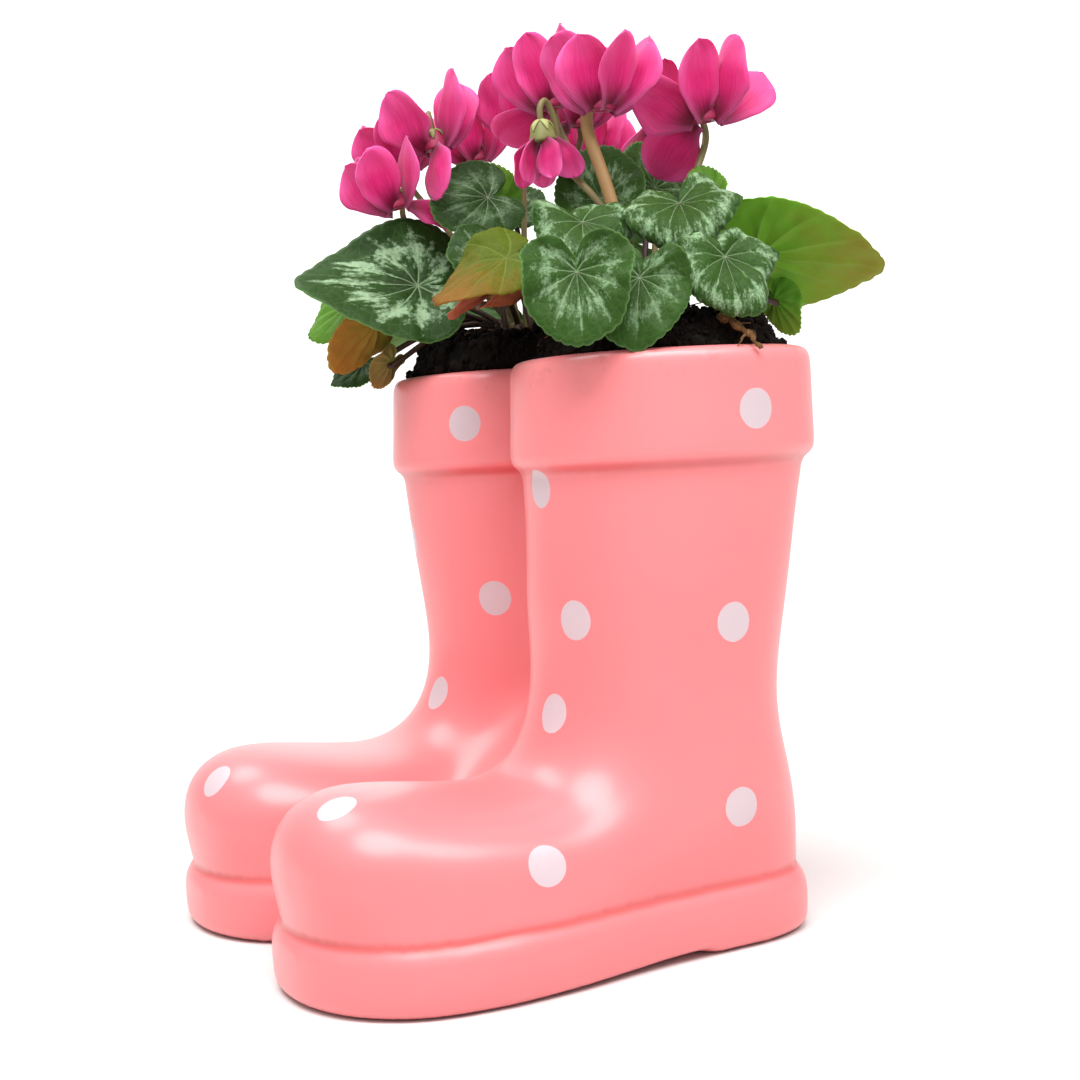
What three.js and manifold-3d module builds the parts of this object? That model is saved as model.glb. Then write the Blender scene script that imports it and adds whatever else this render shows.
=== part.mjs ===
// Potted cyclamen: two small flowering plants in a glazed planter shaped like a pair of boots.
// Millimetres, +Z up, toes towards -Y, left boot at +X. The origin is on the underside of the fused soles.
import * as THREE from 'three';
import { mergeVertices } from 'three/addons/utils/BufferGeometryUtils.js';
import Module from 'manifold-3d';

const wasm = await Module();
wasm.setup();

// Planter sizes
const BOOT_APART = 53;
const RIM_HEIGHT = 204;
const CUFF_FOOT = 166;
const CUFF_OUTSET = 4.2;
const SOLE_THICK = 20;
const SOLE_ROUND = 3;
const WALL = 5.5;
const SQUARENESS = 0.92;
const BOOT_SIDES = 22;
const HOLLOW_SIDES = 14;
const GAP = 0.3;

// Boot sections from toe to top: y and z of the front or upper edge, y and z of the back or lower edge,
// then the half width
const BOOT_SECTIONS = [
  [-142, 42, -142, 42, 0],
  [-136, 58, -139, 25, 26],
  [-121, 66, -125, 14.5, 40],
  [-101, 65, -103, 13, 46],
  [-80, 62, -72, 13, 47.5],
  [-60, 61, -32, 13, 46.5],
  [-45, 69.5, 12, 13, 45],
  [-38, 84, 45, 20, 44],
  [-36, 99, 48, 44, 43.5],
  [-37, 118, 42, 79, 44],
  [-38.5, 140, 50, 124, 45],
  [-40, 166, 58, 166, 46],
];
// Front, back and half width of the leg at the rim, before the cuff is added outside it
const RIM_SECTION = [-38, 57, 48];
// Cuff profile: height above its foot as a share of the cuff, share of the outset, share of the way from
// the leg's section to the rim's
const CUFF_ROWS = [
  [0.03, 0.75, 0], [0.11, 1, 0.1], [0.45, 1, 0.5], [0.85, 1, 0.92], [0.96, 0.75, 1], [1, 0.1, 1],
];
// Sole outline from toe to heel: y and half width
const SOLE_OUTLINE = [
  [-142.5, 0], [-140, 18], [-131, 35], [-114, 48], [-90, 52.3], [-62, 51],
  [-30, 46], [0, 43.5], [22, 41.5], [37, 34], [45, 21], [47.5, 0],
];
// Side of the sole, its crease and the lower side of the foot: height and how far out from the outline
const SOLE_ROWS = [
  [0, -2.5], [SOLE_ROUND, 0], [SOLE_THICK - 1.6, -0.2], [SOLE_THICK, -2.2], [SOLE_THICK + 1.8, -1],
  [SOLE_THICK + 10, -2], [SOLE_THICK + 21, -11],
];
// Web of ceramic that joins the two boots: height, front y and back y at its middle
const WEB_ROWS = [
  [0, -102, 32], [16, -100, 32], [28, -78, 30], [50, -48, 27], [70, -24, 25], [96, -12, 24], [197, -12, 28],
];
// How far the web's faces sweep out towards each boot, and how wide it is
const WEB_SWEEP = [[-18, 6], [-10, 1.6], [0, 0], [10, 1.6], [18, 6]];

// Soil and tubers
const SOIL_EDGE = RIM_HEIGHT - 2.5;
const SOIL_MOUND = 13;
const TUBER_Z = 209;
const TUBER_RADIUS = 19;
const TUBER_HALF_HEIGHT = 12;
const CROWN_Z = TUBER_Z + TUBER_HALF_HEIGHT;
const PLANT_Y = 7;
const STEM_FOOT_Z = 212;
const STEM_SIDES = 5;
const LEAF_RING = 13;
const STALK_RING = 6.5;
const LEAF_TURN = { left: 0.6, right: -0.5 };
const STALK_TURN = 0.5;

// Leaves
const LEAF_THICK = 0.8;
const PETIOLE_RADIUS = 1.3;
const LEAF_SPOKES = 12;
const LEAF_RINGS = 2;
const FINE_STEPS = 12;
const LEAF_EDGE = [1, 0.9, 0.78, 0.71, 0.675, 0.65, 0.62, 0.55, 0.42, 0.1];
// Plant, attaching point x y z, heading, pitch, roll, length, width factor, then how the blade bends:
// side cup, tip droop, wave, wave phase and rolled rim, in degrees of slope
const LEAVES = [
  ['left', 31, 2, 262, 149, 64, 1, 21.5, 1.2, 15, -2, 6, 0, 0],
  ['left', 41.5, -43, 239, 267, -26, -19, 31, 1.05, -2, -32, 17, 1, 0],
  ['left', 57, -20.5, 249.5, 2, -37, 6, 25, 1.15, 16, -25, 22, 2, -30],
  ['left', 81.5, -37, 230, 336, -60, 6, 28, 1.1, 48, -10, 8, 0, 0],
  ['left', 84.5, -15, 227.5, 319, -60, -7, 28.5, 0.95, 25, -8, 14, 1, 0],
  ['left', 92, 14, 233.5, 345, -58, 0, 25.5, 1.05, 41, 26, 10, 0, -60],
  ['left', 66.5, 13, 255, 339, -31, 11, 27, 1.15, 30, -20, 8, 0, -30],
  ['left', 55, 31.5, 258, 159, 63, -15, 14, 1, 40, 10, 8, 0, 0],
  ['left', 51.5, 54, 238, 59, -9, -36, 47, 0.95, -6, -8, 5, 0, 0],
  ['left', 48, 64, 223, 50, -62, -55, 15, 1, 17, -11, 10, 0, 0],
  ['left', 24, 38, 240, 112, -10, 0, 34, 1.1, 14, -24, 8, 1, 0],
  ['left', 29.5, 25.5, 266.5, 162, 58, 22, 19.5, 1.25, 7, -4, 8, 0, 0],
  ['left', 9.5, 21, 253, 161, -2, 8, 24.5, 1.1, 11, -25, 14, 2, 0],
  ['right', -98, 3.5, 244, 209, -1, 5, 38, 1.1, 15, -11, 8, 1, 0],
  ['right', -86.5, -23.5, 229, 208, -22, 3, 34, 1.05, 14, -20, 6, 2, 0],
  ['right', -90.5, -47, 211.5, 243, -30, -50, 16, 1, 0, -10, 10, 0, 0],
  ['right', -79, -55, 234.5, 238, -26, -48, 22, 1.1, -3, -30, 6, 0, 0],
  ['right', -67, -44, 211, 260, -50, 46, 13, 1, 0, -12, 12, 0, 0],
  ['right', -61, -51.5, 226.5, 256, -44, 43, 27, 0.9, 0, -10, 3, 0, 0],
  ['right', -47, -39, 239, 255, 3, -55, 48.5, 0.9, 7, -12, 17, 0, 0],
  ['right', -38.5, -10.5, 272.5, 267, -18, -59, 25, 1.1, -3, -6, -4, 0, 0],
  ['right', -7.5, -27, 243.5, 161, 52, -3, 24, 0.95, 14, -25, 9, 0, 0],
  ['right', -52.5, -1.5, 270.5, 321, 42, 5, 19.5, 1.1, 54, 39, 14, 0, 0],
  ['right', 6, -15.5, 235, 252, -25, 11, 23.5, 0.9, -24, -9, -1, 0, 0],
  ['right', 13.5, -10.5, 244.5, 253, -34, 3, 45.5, 1, -12, 2, 4, 0, 0],
  ['right', -30, 36, 244, 75, -6, 0, 28, 1.1, 14, -20, 8, 1, 0],
  ['right', -68, 38, 236, 105, -14, 0, 38, 1.1, 14, -22, 8, 0, 0],
  ['right', -90, 28.5, 228, 142, -19, 6, 36, 1.1, 2, -18, -11, 2, 0],
  ['right', -70.5, 17, 270.5, 147, 50, -1, 19.5, 1.1, 10, -4, 12, 0, 0],
];

// Blooms
const PETAL_THICK = 0.8;
// Shares of a petal's length, and steps across it, where the solid has points
const PETAL_STATIONS = [0, 0.25, 0.5, 0.75, 1];
const PETAL_COLUMNS = 2;
// Bearings of the petals from the stalk, and how far each is turned about its own middle, in degrees
const PETAL_FIRST = 60;
const PETAL_STEP = 57;
const PETAL_FOOT = 3.7;
const PETAL_WAIST = 0.34;
const PETAL_TWIST = 46;
const NOSE_PROFILE = [[3.1, 5.8], [4.9, 0.8], [4.4, -0.6], [2.2, -0.6], [1.6, 3.6]];
const NOSE_TOP = 7;
const NOSE_INSIDE_TOP = 4.4;
const NOSE_SIDES = 6;
const STALK_RADIUS = 1.1;
const HOOK_SIDE = 7.4;
// Plant, mouth x y z, tilt, tilt heading, bearing of the stalk, petal length, petal width, stalk radius at
// its foot, then how far each of the five petals rises above the level, in degrees
const BLOOMS = [
  ['left', 15.5, -8, 297.5, 9, 243, 260, 29, 19, 1.2, [-12, 74, 74, 74, 74]],
  ['left', 46.5, -5, 291, 4, 63, 125, 29, 21, 2.3, [66, 66, 66, 66, 66]],
  ['left', 24.5, -17, 283.5, 5, 243, 225, 20, 12, 1.3, [-72, -72, -72, -72, -72]],
  ['left', 51, 35, 287.5, 4, 243, 270, 30, 22, 1.3, [-45, 25, 70, 60, 22]],
  ['left', 4, 46, 294, 3, 63, 90, 27, 18, 1.2, [72, -50, 72, 72, -62]],
  ['right', -78.5, -27.5, 289.5, 14, 243, 270, 26, 18, 1.2, [66, 66, 66, 66, 66]],
  ['right', -54.5, -42, 271, 14, 243, 260, 27, 20, 1.2, [62, 64, 62, 62, -34]],
  ['right', -47, -27.5, 293, 10, 243, 270, 30, 20, 1.2, [68, 68, -62, 68, 68]],
  ['right', -38, 6, 298, 1, 243, 270, 28, 18, 1.2, [72, 72, 72, 72, 72]],
  ['right', -10.5, 16.5, 296.5, 4, 63, 85, 30, 19, 1.2, [72, -62, 72, 72, 72]],
  ['right', -46.5, 41, 289, 8, 63, 90, 25, 17, 1.2, [70, 70, 70, 70, 70]],
  ['right', -84, 7, 295, 8, 243, 270, 25, 17, 1.2, [70, 70, 70, 70, 70]],
];

const radians = THREE.MathUtils.degToRad;
const plantX = (plant) => (plant === 'left' ? BOOT_APART : -BOOT_APART);
const point = (x, y, z) => new THREE.Vector3(x, y, z);
const ease = (t) => {
  const c = Math.min(1, Math.max(0, t));
  return c * c * (3 - 2 * c);
};

// Smooth curve through rows of numbers, t counts the rows
function spline(rows, t) {
  const last = rows.length - 1;
  const c = Math.min(last, Math.max(0, t));
  const i = Math.min(Math.floor(c), last - 1);
  const f = c - i;
  const four = [rows[Math.max(i - 1, 0)], rows[i], rows[i + 1], rows[Math.min(i + 2, last)]];
  const mix = (a, b, d, e) => 0.5 * (2 * b + (d - a) * f + (2 * a - 5 * b + 4 * d - e) * f * f
    + (3 * b - a - 3 * d + e) * f * f * f);
  if (!Array.isArray(rows[0])) return mix(...four);
  return rows[0].map((_, k) => mix(...four.map((row) => row[k])));
}

// Closed geometry from a list of triangles, each given as three points; turned right side out
function closedGeometry(triangles) {
  const flat = [];
  let volume = 0;
  for (const [a, b, c] of triangles) volume += a.dot(b.clone().cross(c));
  for (const [a, b, c] of triangles) {
    const turn = volume > 0 ? [a, b, c] : [a, c, b];
    for (const p of turn) flat.push(p.x, p.y, p.z);
  }
  const geometry = new THREE.BufferGeometry();
  geometry.setAttribute('position', new THREE.Float32BufferAttribute(flat, 3));
  return geometry;
}

function solid(triangles) {
  const merged = mergeVertices(closedGeometry(triangles), 1e-5);
  const index = merged.index.array;
  const kept = [];
  for (let i = 0; i < index.length; i += 3) {
    const [a, b, c] = [index[i], index[i + 1], index[i + 2]];
    if (a !== b && b !== c && a !== c) kept.push(a, b, c);
  }
  const mesh = new wasm.Mesh({
    numProp: 3,
    vertProperties: new Float32Array(merged.attributes.position.array),
    triVerts: new Uint32Array(kept),
  });
  mesh.merge();
  return new wasm.Manifold(mesh);
}

function quad(list, a, b, c, d) {
  list.push([a, b, c], [a, c, d]);
}

// Skin over closed rings of points, closed at each end by a fan to a point
function loft(rings, first, last) {
  const list = [];
  const count = rings[0].length;
  for (let j = 0; j < count; j += 1) {
    const k = (j + 1) % count;
    list.push([first, rings[0][k], rings[0][j]]);
    for (let i = 0; i + 1 < rings.length; i += 1) {
      quad(list, rings[i][j], rings[i][k], rings[i + 1][k], rings[i + 1][j]);
    }
    list.push([last, rings[rings.length - 1][j], rings[rings.length - 1][k]]);
  }
  return solid(list);
}

function middle(ring) {
  const sum = point(0, 0, 0);
  for (const p of ring) sum.add(p);
  return sum.divideScalar(ring.length);
}

// Sheet of points given a thickness: both faces split alike, joined round the edge
function thickSheet(grid, thick, poleNormal = null) {
  const rows = grid.length;
  const columns = grid[0].length;
  const normals = grid.map((row, i) => row.map((_, j) => {
    if (poleNormal && j === 0) return poleNormal;
    const along = grid[Math.min(i + 1, rows - 1)][j].clone().sub(grid[Math.max(i - 1, 0)][j]);
    const across = grid[i][Math.min(j + 1, columns - 1)].clone().sub(grid[i][Math.max(j - 1, 0)]);
    return across.cross(along).normalize();
  }));
  const lift = (side) => (p, i, j) => p.clone().addScaledVector(normals[i][j], side);
  const face = (move) => grid.map((row, i) => row.map((p, j) => move(p, i, j)));
  const top = face(lift(thick / 2));
  const under = face(lift(-thick / 2));
  const list = [];
  for (let i = 0; i + 1 < rows; i += 1) {
    for (let j = 0; j + 1 < columns; j += 1) {
      quad(list, top[i][j], top[i + 1][j], top[i + 1][j + 1], top[i][j + 1]);
      const [a, b, c, d] = [under[i][j], under[i + 1][j], under[i + 1][j + 1], under[i][j + 1]];
      list.push([a, c, b], [a, d, c]);
    }
  }
  const rim = (i, j, k, l) => quad(list, top[i][j], under[i][j], under[k][l], top[k][l]);
  for (let i = 0; i + 1 < rows; i += 1) {
    if (!poleNormal) rim(i, 0, i + 1, 0);
    rim(i + 1, columns - 1, i, columns - 1);
  }
  for (let j = 0; j + 1 < columns; j += 1) {
    rim(0, j + 1, 0, j);
    rim(rows - 1, j, rows - 1, j + 1);
  }
  return solid(list);
}

// Round stem through the points of a path
function stem(path, radii) {
  const last = path.length - 1;
  let side = point(1, 0, 0);
  const rings = path.map((c, i) => {
    const ahead = path[Math.min(i + 1, last)].clone().sub(path[Math.max(i - 1, 0)]).normalize();
    side = side.clone().addScaledVector(ahead, -side.dot(ahead)).normalize();
    const up = ahead.clone().cross(side);
    const radius = radii[0] + (radii[1] - radii[0]) * (i / last);
    return Array.from({ length: STEM_SIDES }, (_, k) => {
      const turn = (2 * Math.PI * k) / STEM_SIDES;
      const p = c.clone().addScaledVector(side, radius * Math.cos(turn));
      return p.addScaledVector(up, radius * Math.sin(turn));
    });
  });
  return loft(rings, path[0], path[last]);
}

// Boot planter
function bootRing([yu, zu, yd, zd, half], sides) {
  return Array.from({ length: sides }, (_, k) => {
    const turn = (2 * Math.PI * k) / sides;
    const c = Math.sign(Math.cos(turn)) * Math.abs(Math.cos(turn)) ** SQUARENESS;
    const s = Math.sign(Math.sin(turn)) * Math.abs(Math.sin(turn)) ** SQUARENESS;
    return point(half * s, (yu + yd) / 2 + ((yu - yd) / 2) * c, (zu + zd) / 2 + ((zu - zd) / 2) * c);
  });
}

function toeMirrored(rows) {
  const [yu, zu, yd, zd, half] = rows[1];
  return [[yd, zd, yu, zu, -half], ...rows];
}

function bootBody() {
  const rows = toeMirrored(BOOT_SECTIONS);
  const steps = 15;
  const rings = [];
  for (let i = 1; i <= steps; i += 1) {
    rings.push(bootRing(spline(rows, 1 + (i / steps) * (rows.length - 2)), BOOT_SIDES));
  }
  const leg = BOOT_SECTIONS[BOOT_SECTIONS.length - 1];
  for (const [high, out, way] of CUFF_ROWS) {
    const z = CUFF_FOOT + high * (RIM_HEIGHT - CUFF_FOOT);
    const front = leg[0] + (RIM_SECTION[0] - leg[0]) * way - CUFF_OUTSET * out;
    const back = leg[2] + (RIM_SECTION[1] - leg[2]) * way + CUFF_OUTSET * out;
    const half = leg[4] + (RIM_SECTION[2] - leg[4]) * way + CUFF_OUTSET * out;
    rings.push(bootRing([front, z, back, z, half], BOOT_SIDES));
  }
  return loft(rings, point(0, BOOT_SECTIONS[0][0], BOOT_SECTIONS[0][1]), middle(rings[rings.length - 1]));
}

function soleOutline(steps) {
  const head = [SOLE_OUTLINE[1][0], -SOLE_OUTLINE[1][1]];
  const before = SOLE_OUTLINE[SOLE_OUTLINE.length - 2];
  const rows = [head, ...SOLE_OUTLINE, [before[0], -before[1]]];
  const half = [];
  for (let i = 0; i <= steps; i += 1) {
    half.push(spline(rows, 1 + (i / steps) * (SOLE_OUTLINE.length - 1)));
  }
  const back = half.slice(1, -1).reverse().map(([y, x]) => [y, -x]);
  return [...half, ...back];
}

function bootSole() {
  const outline = soleOutline(13);
  const rings = SOLE_ROWS.map(([z, out]) => outline.map(([y, x], k) => {
    const next = outline[(k + 1) % outline.length];
    const last = outline[(k + outline.length - 1) % outline.length];
    const dx = next[1] - last[1];
    const dy = next[0] - last[0];
    const size = Math.hypot(dx, dy);
    return point(x + (out * dy) / size, y - (out * dx) / size, z);
  }));
  return loft(rings, middle(rings[0]), middle(rings[rings.length - 1]));
}

// Room inside a boot, its sections drawn in from the outside by the wall
function bootInside(inset, rings) {
  const rows = BOOT_SECTIONS.map(([yu, zu, yd, zd, half]) => {
    const size = Math.hypot(yd - yu, zd - zu) || 1;
    const [ey, ez] = [(yd - yu) / size, (zd - zu) / size];
    return [yu + inset * ey, zu + inset * ez, yd - inset * ey, zd - inset * ez, half - inset];
  });
  const list = [];
  for (let i = 0; i <= rings; i += 1) {
    const t = 1.5 + (i / rings) * (rows.length - 2.5);
    list.push(bootRing(spline(rows, t), HOLLOW_SIDES));
  }
  return list;
}

function levelRing(inset, z, share) {
  const way = (z - CUFF_FOOT) / (RIM_HEIGHT - CUFF_FOOT);
  const leg = BOOT_SECTIONS[BOOT_SECTIONS.length - 1];
  const at = (k) => leg[k * 2] + (RIM_SECTION[k] - leg[k * 2]) * way;
  const centre = (at(0) + at(1)) / 2;
  const reach = ((at(1) - at(0)) / 2 - inset) * share;
  return bootRing([centre - reach, z, centre + reach, z, (at(2) - inset) * share], HOLLOW_SIDES);
}

function bootHollow() {
  const rings = bootInside(WALL, 8);
  rings.push(levelRing(WALL, RIM_HEIGHT, 1), levelRing(WALL, RIM_HEIGHT + 4, 1));
  const toe = middle(rings[0]).add(point(0, -1.5, 0));
  return loft(rings, toe, middle(rings[rings.length - 1]));
}

function bootWeb() {
  const rings = WEB_ROWS.map(([z, front, back]) => [
    ...WEB_SWEEP.map(([x, sweep]) => point(x, front - sweep, z)),
    ...WEB_SWEEP.map(([x, sweep]) => point(-x, back + sweep, z)),
  ]);
  return loft(rings, middle(rings[0]), middle(rings[rings.length - 1]));
}

function planter() {
  let shell = bootWeb();
  for (const side of [-1, 1]) {
    const boot = bootBody().add(bootSole()).translate([side * BOOT_APART, 0, 0]);
    shell = shell.add(boot);
  }
  for (const side of [-1, 1]) shell = shell.subtract(bootHollow().translate([side * BOOT_APART, 0, 0]));
  return shell;
}

// Soil and tubers
function tuberBody(extra) {
  const rings = [-0.7, 0, 0.55, 0.86].map((level) => {
    const radius = (TUBER_RADIUS + extra) * Math.sqrt(1 - level * level);
    return Array.from({ length: 12 }, (_, k) => {
      const turn = (2 * Math.PI * k) / 12;
      return point(radius * Math.cos(turn), radius * Math.sin(turn), level * (TUBER_HALF_HEIGHT + extra));
    });
  });
  const end = TUBER_HALF_HEIGHT + extra;
  return loft(rings, point(0, 0, -end), point(0, 0, end));
}

function soil(side) {
  const inset = WALL + GAP;
  const rings = bootInside(inset, 8);
  rings.push(levelRing(inset, SOIL_EDGE, 1));
  for (const [share, rise] of [[0.9, 0.35], [0.7, 0.85], [0.45, 0.8]]) {
    const ring = levelRing(inset, SOIL_EDGE, share);
    ring.forEach((p, k) => {
      p.z += SOIL_MOUND * rise + 1.4 * Math.sin(2.3 * k + 5 * share + side) * (share < 0.9 ? 1 : 0.4);
    });
    rings.push(ring);
  }
  const top = middle(rings[rings.length - 1]);
  const toe = middle(rings[0]).add(point(0, -1.2, 0));
  const tuberRoom = tuberBody(GAP).translate([0, PLANT_Y, TUBER_Z]);
  return loft(rings, toe, top).subtract(tuberRoom).translate([side * BOOT_APART, 0, 0]);
}

function stemHole(x, y, radius) {
  const ring = (z) => Array.from({ length: STEM_SIDES }, (_, k) => {
    const turn = (2 * Math.PI * k) / STEM_SIDES;
    return point(x + radius * Math.cos(turn), y + radius * Math.sin(turn), z);
  });
  const low = STEM_FOOT_Z - GAP;
  const high = CROWN_Z + 3;
  return loft([ring(low), ring(high)], point(x, y, low), point(x, y, high));
}

function tuber(side, plant) {
  let body = tuberBody(0).translate([side * BOOT_APART, PLANT_Y, TUBER_Z]);
  LEAVES.forEach((row, i) => {
    if (row[0] !== plant) return;
    const [x, y] = leafFoot(i);
    body = body.subtract(stemHole(x, y, (PETIOLE_RADIUS + GAP) * 1.16));
  });
  BLOOMS.forEach((row, i) => {
    if (row[0] !== plant) return;
    const [x, y] = stalkFoot(i);
    body = body.subtract(stemHole(x, y, (row[9] + GAP) * 1.16));
  });
  return body;
}

// Stems stand evenly round the crown, in the order of the rows
function footOn(rows, i, ring, shift) {
  const plant = rows[i][0];
  const mates = rows.filter((row) => row[0] === plant);
  const turn = (2 * Math.PI * mates.indexOf(rows[i])) / mates.length - Math.PI + shift;
  return [plantX(plant) + ring * Math.cos(turn), PLANT_Y + ring * Math.sin(turn)];
}
const leafFoot = (i) => footOn(LEAVES, i, LEAF_RING, LEAF_TURN[LEAVES[i][0]]);
const stalkFoot = (i) => footOn(BLOOMS, i, STALK_RING, STALK_TURN);

// Leaf blade: spokes round the attaching point, each bending up or down as it runs out
function axesOf(heading, pitch, roll) {
  const [h, p, r] = [radians(heading), radians(pitch), radians(roll)];
  const u = point(Math.cos(h) * Math.cos(p), Math.sin(h) * Math.cos(p), Math.sin(p));
  const level = point(-Math.sin(h), Math.cos(h), 0);
  const v = level.clone().multiplyScalar(Math.cos(r)).addScaledVector(u.clone().cross(level), Math.sin(r));
  return [u, v, u.clone().cross(v)];
}

function leafGrid([, x, y, z, heading, pitch, roll, length, width, cup, droop, wave, phase, rim]) {
  const [u, v, n] = axesOf(heading, pitch, roll);
  return Array.from({ length: LEAF_SPOKES + 1 }, (_, i) => {
    const turn = Math.PI * 0.985 * ((2 * i) / LEAF_SPOKES - 1);
    const reach = length * spline(LEAF_EDGE, Math.abs(THREE.MathUtils.radToDeg(turn)) / 20)
      * (1 + (width - 1) * Math.abs(Math.sin(turn)));
    const ahead = Math.max(Math.cos(turn), 0) ** 2;
    const bend = droop * ahead + cup * (1 - ahead) + wave * Math.sin(3 * turn + phase);
    const spoke = [point(x, y, z)];
    let out = 0;
    let up = 0;
    for (let k = 0; k < FINE_STEPS; k += 1) {
      const q = (k + 0.5) / FINE_STEPS;
      const slope = radians(6 + bend * q + rim * q ** 3);
      out += (reach / FINE_STEPS) * Math.cos(slope);
      up += (reach / FINE_STEPS) * Math.sin(slope);
      if ((k + 1) % (FINE_STEPS / LEAF_RINGS) === 0) {
        const p = point(x, y, z).addScaledVector(u, out * Math.cos(turn));
        spoke.push(p.addScaledVector(v, out * Math.sin(turn)).addScaledVector(n, up));
      }
    }
    return spoke;
  });
}

function petiolePath(i) {
  const [, x, y, z, heading, pitch, roll, length] = LEAVES[i];
  const [u, , n] = axesOf(heading, pitch, roll);
  const [fx, fy] = leafFoot(i);
  const tip = point(x, y, z).addScaledVector(u, 1.6);
  const under = tip.clone().addScaledVector(n, -0.2 * length).addScaledVector(u, -0.14 * length);
  const foot = point(fx, fy, STEM_FOOT_Z);
  const out = point(fx, fy, CROWN_Z - 1);
  const neck = point(fx, fy, CROWN_Z + 4);
  const half = neck.clone().lerp(under, 0.5).add(point(0, 0, 0.1 * neck.distanceTo(under)));
  return [foot, out, neck, half, under, tip];
}

function leaf(i) {
  const row = LEAVES[i];
  const normal = axesOf(row[4], row[5], row[6])[2];
  const blade = thickSheet(leafGrid(row), LEAF_THICK, normal);
  return blade.add(stem(petiolePath(i), [PETIOLE_RADIUS, PETIOLE_RADIUS * 0.85]));
}

// Bloom: five petals swept up from the rim of a small cup that opens downwards
function bloomAxes(tilt, heading) {
  const [t, h] = [radians(tilt), radians(heading)];
  const up = point(Math.cos(h) * Math.sin(t), Math.sin(h) * Math.sin(t), Math.cos(t));
  const ex = point(Math.cos(h) * Math.cos(t), Math.sin(h) * Math.cos(t), -Math.sin(t));
  return [ex, up.clone().cross(ex), up];
}

function petalGrid(turn, length, width, rise) {
  const twist = radians(PETAL_TWIST);
  const base = rise * 0.6;
  let out = PETAL_FOOT;
  let up = 0;
  let slope = radians(base);
  const rows = [];
  for (let k = 0; k <= FINE_STEPS * 2; k += 1) {
    const t = k / (FINE_STEPS * 2);
    if (k > 0) {
      const mid = t - 0.5 / (FINE_STEPS * 2);
      slope = radians(base + (rise + 10 - base) * ease(mid / 0.32) - 22 * mid * mid);
      out += (length * Math.cos(slope)) / (FINE_STEPS * 2);
      up += (length * Math.sin(slope)) / (FINE_STEPS * 2);
    }
    rows.push([t, out, up, slope]);
  }
  return PETAL_STATIONS.map((station) => {
    const [t, r, z, s] = rows[Math.round(station * FINE_STEPS * 2)];
    const round = Math.sqrt(Math.max(0.02, 1 - Math.max(0, (t - 0.58) / 0.42) ** 2.4));
    const half = (width / 2) * (PETAL_WAIST + (1 - PETAL_WAIST) * ease(t / 0.5)) * round;
    return Array.from({ length: PETAL_COLUMNS + 1 }, (__, j) => {
      const w = (2 * j) / PETAL_COLUMNS - 1;
      const away = half * w * Math.sin(twist) - 0.18 * half * w * w;
      const across = half * w * Math.cos(twist);
      const rr = r - away * Math.sin(s);
      const zz = z + away * Math.cos(s);
      const x = rr * Math.cos(turn) - across * Math.sin(turn);
      const y = rr * Math.sin(turn) + across * Math.cos(turn);
      return point(x, y, zz);
    });
  });
}

function nose() {
  const rings = NOSE_PROFILE.map(([radius, z]) => Array.from({ length: NOSE_SIDES }, (_, k) => {
    const turn = (2 * Math.PI * k) / NOSE_SIDES;
    return point(radius * Math.cos(turn), radius * Math.sin(turn), z);
  }));
  return loft(rings, point(0, 0, NOSE_TOP), point(0, 0, NOSE_INSIDE_TOP));
}

function placed(body, x, y, z, tilt, heading) {
  const [ex, ey, up] = bloomAxes(tilt, heading);
  const matrix = new THREE.Matrix4().makeBasis(ex, ey, up).setPosition(x, y, z);
  return body.transform(matrix.toArray());
}

function bloom(i) {
  const [, x, y, z, tilt, heading, bearing, length, width, , rises] = BLOOMS[i];
  let body = nose();
  rises.forEach((rise, k) => {
    const turn = radians(bearing + PETAL_FIRST + PETAL_STEP * k);
    const size = length * (rise < 0 ? 0.85 : 1 - 0.05 * ((k * 2) % 3));
    body = body.add(thickSheet(petalGrid(turn, size, width, rise), PETAL_THICK));
  });
  return placed(body, x, y, z, tilt, heading);
}

// Flower stalk: up past the mouth, through the wide gap between two petals, over, and down onto the cup
function stalkPath(i) {
  const [, x, y, z, tilt, heading, bearing] = BLOOMS[i];
  const [ex, ey, up] = bloomAxes(tilt, heading);
  const side = ex.clone().multiplyScalar(Math.cos(radians(bearing)));
  side.addScaledVector(ey, Math.sin(radians(bearing)));
  const at = (out, high) => point(x, y, z).addScaledVector(side, out).addScaledVector(up, high);
  const [fx, fy] = stalkFoot(i);
  const foot = point(fx, fy, STEM_FOOT_Z);
  const out = point(fx, fy, CROWN_Z + 1);
  const neck = point(fx, fy, CROWN_Z + 7);
  const low = at(HOOK_SIDE, -7);
  const half = neck.clone().lerp(low, 0.55).add(point(0, 0, 3));
  const hook = [at(HOOK_SIDE, 2), at(HOOK_SIDE - 0.8, 10), at(HOOK_SIDE / 2, 14.5), at(0.6, 12)];
  hook.push(at(0, NOSE_TOP + GAP + 0.1));
  return [foot, out, neck, half, low, ...hook];
}

function stalk(i) {
  return stem(stalkPath(i), [BLOOMS[i][9], STALK_RADIUS]);
}

// Materials and assembly
const paint = (color, roughness) => new THREE.MeshStandardMaterial({ color, roughness, metalness: 0 });
const GLAZE = paint(0xff9494, 0.25);
const PEAT = paint(0x2a1c14, 0.95);
const CORM = paint(0x6b4a34, 0.85);
const LEAF_GREEN = paint(0x3e6b3c, 0.55);
const PETAL_PINK = paint(0xe8308a, 0.5);
const STALK_BROWN = paint(0x7d5a3c, 0.6);

function addNode(group, name, body, material) {
  const mesh = body.getMesh();
  const geometry = new THREE.BufferGeometry();
  const places = new Float32Array(mesh.vertProperties);
  geometry.setAttribute('position', new THREE.BufferAttribute(places, 3));
  geometry.setIndex(new THREE.BufferAttribute(new Uint32Array(mesh.triVerts), 1));
  geometry.computeVertexNormals();
  const node = new THREE.Mesh(geometry, material);
  node.name = name;
  group.add(node);
}

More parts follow.
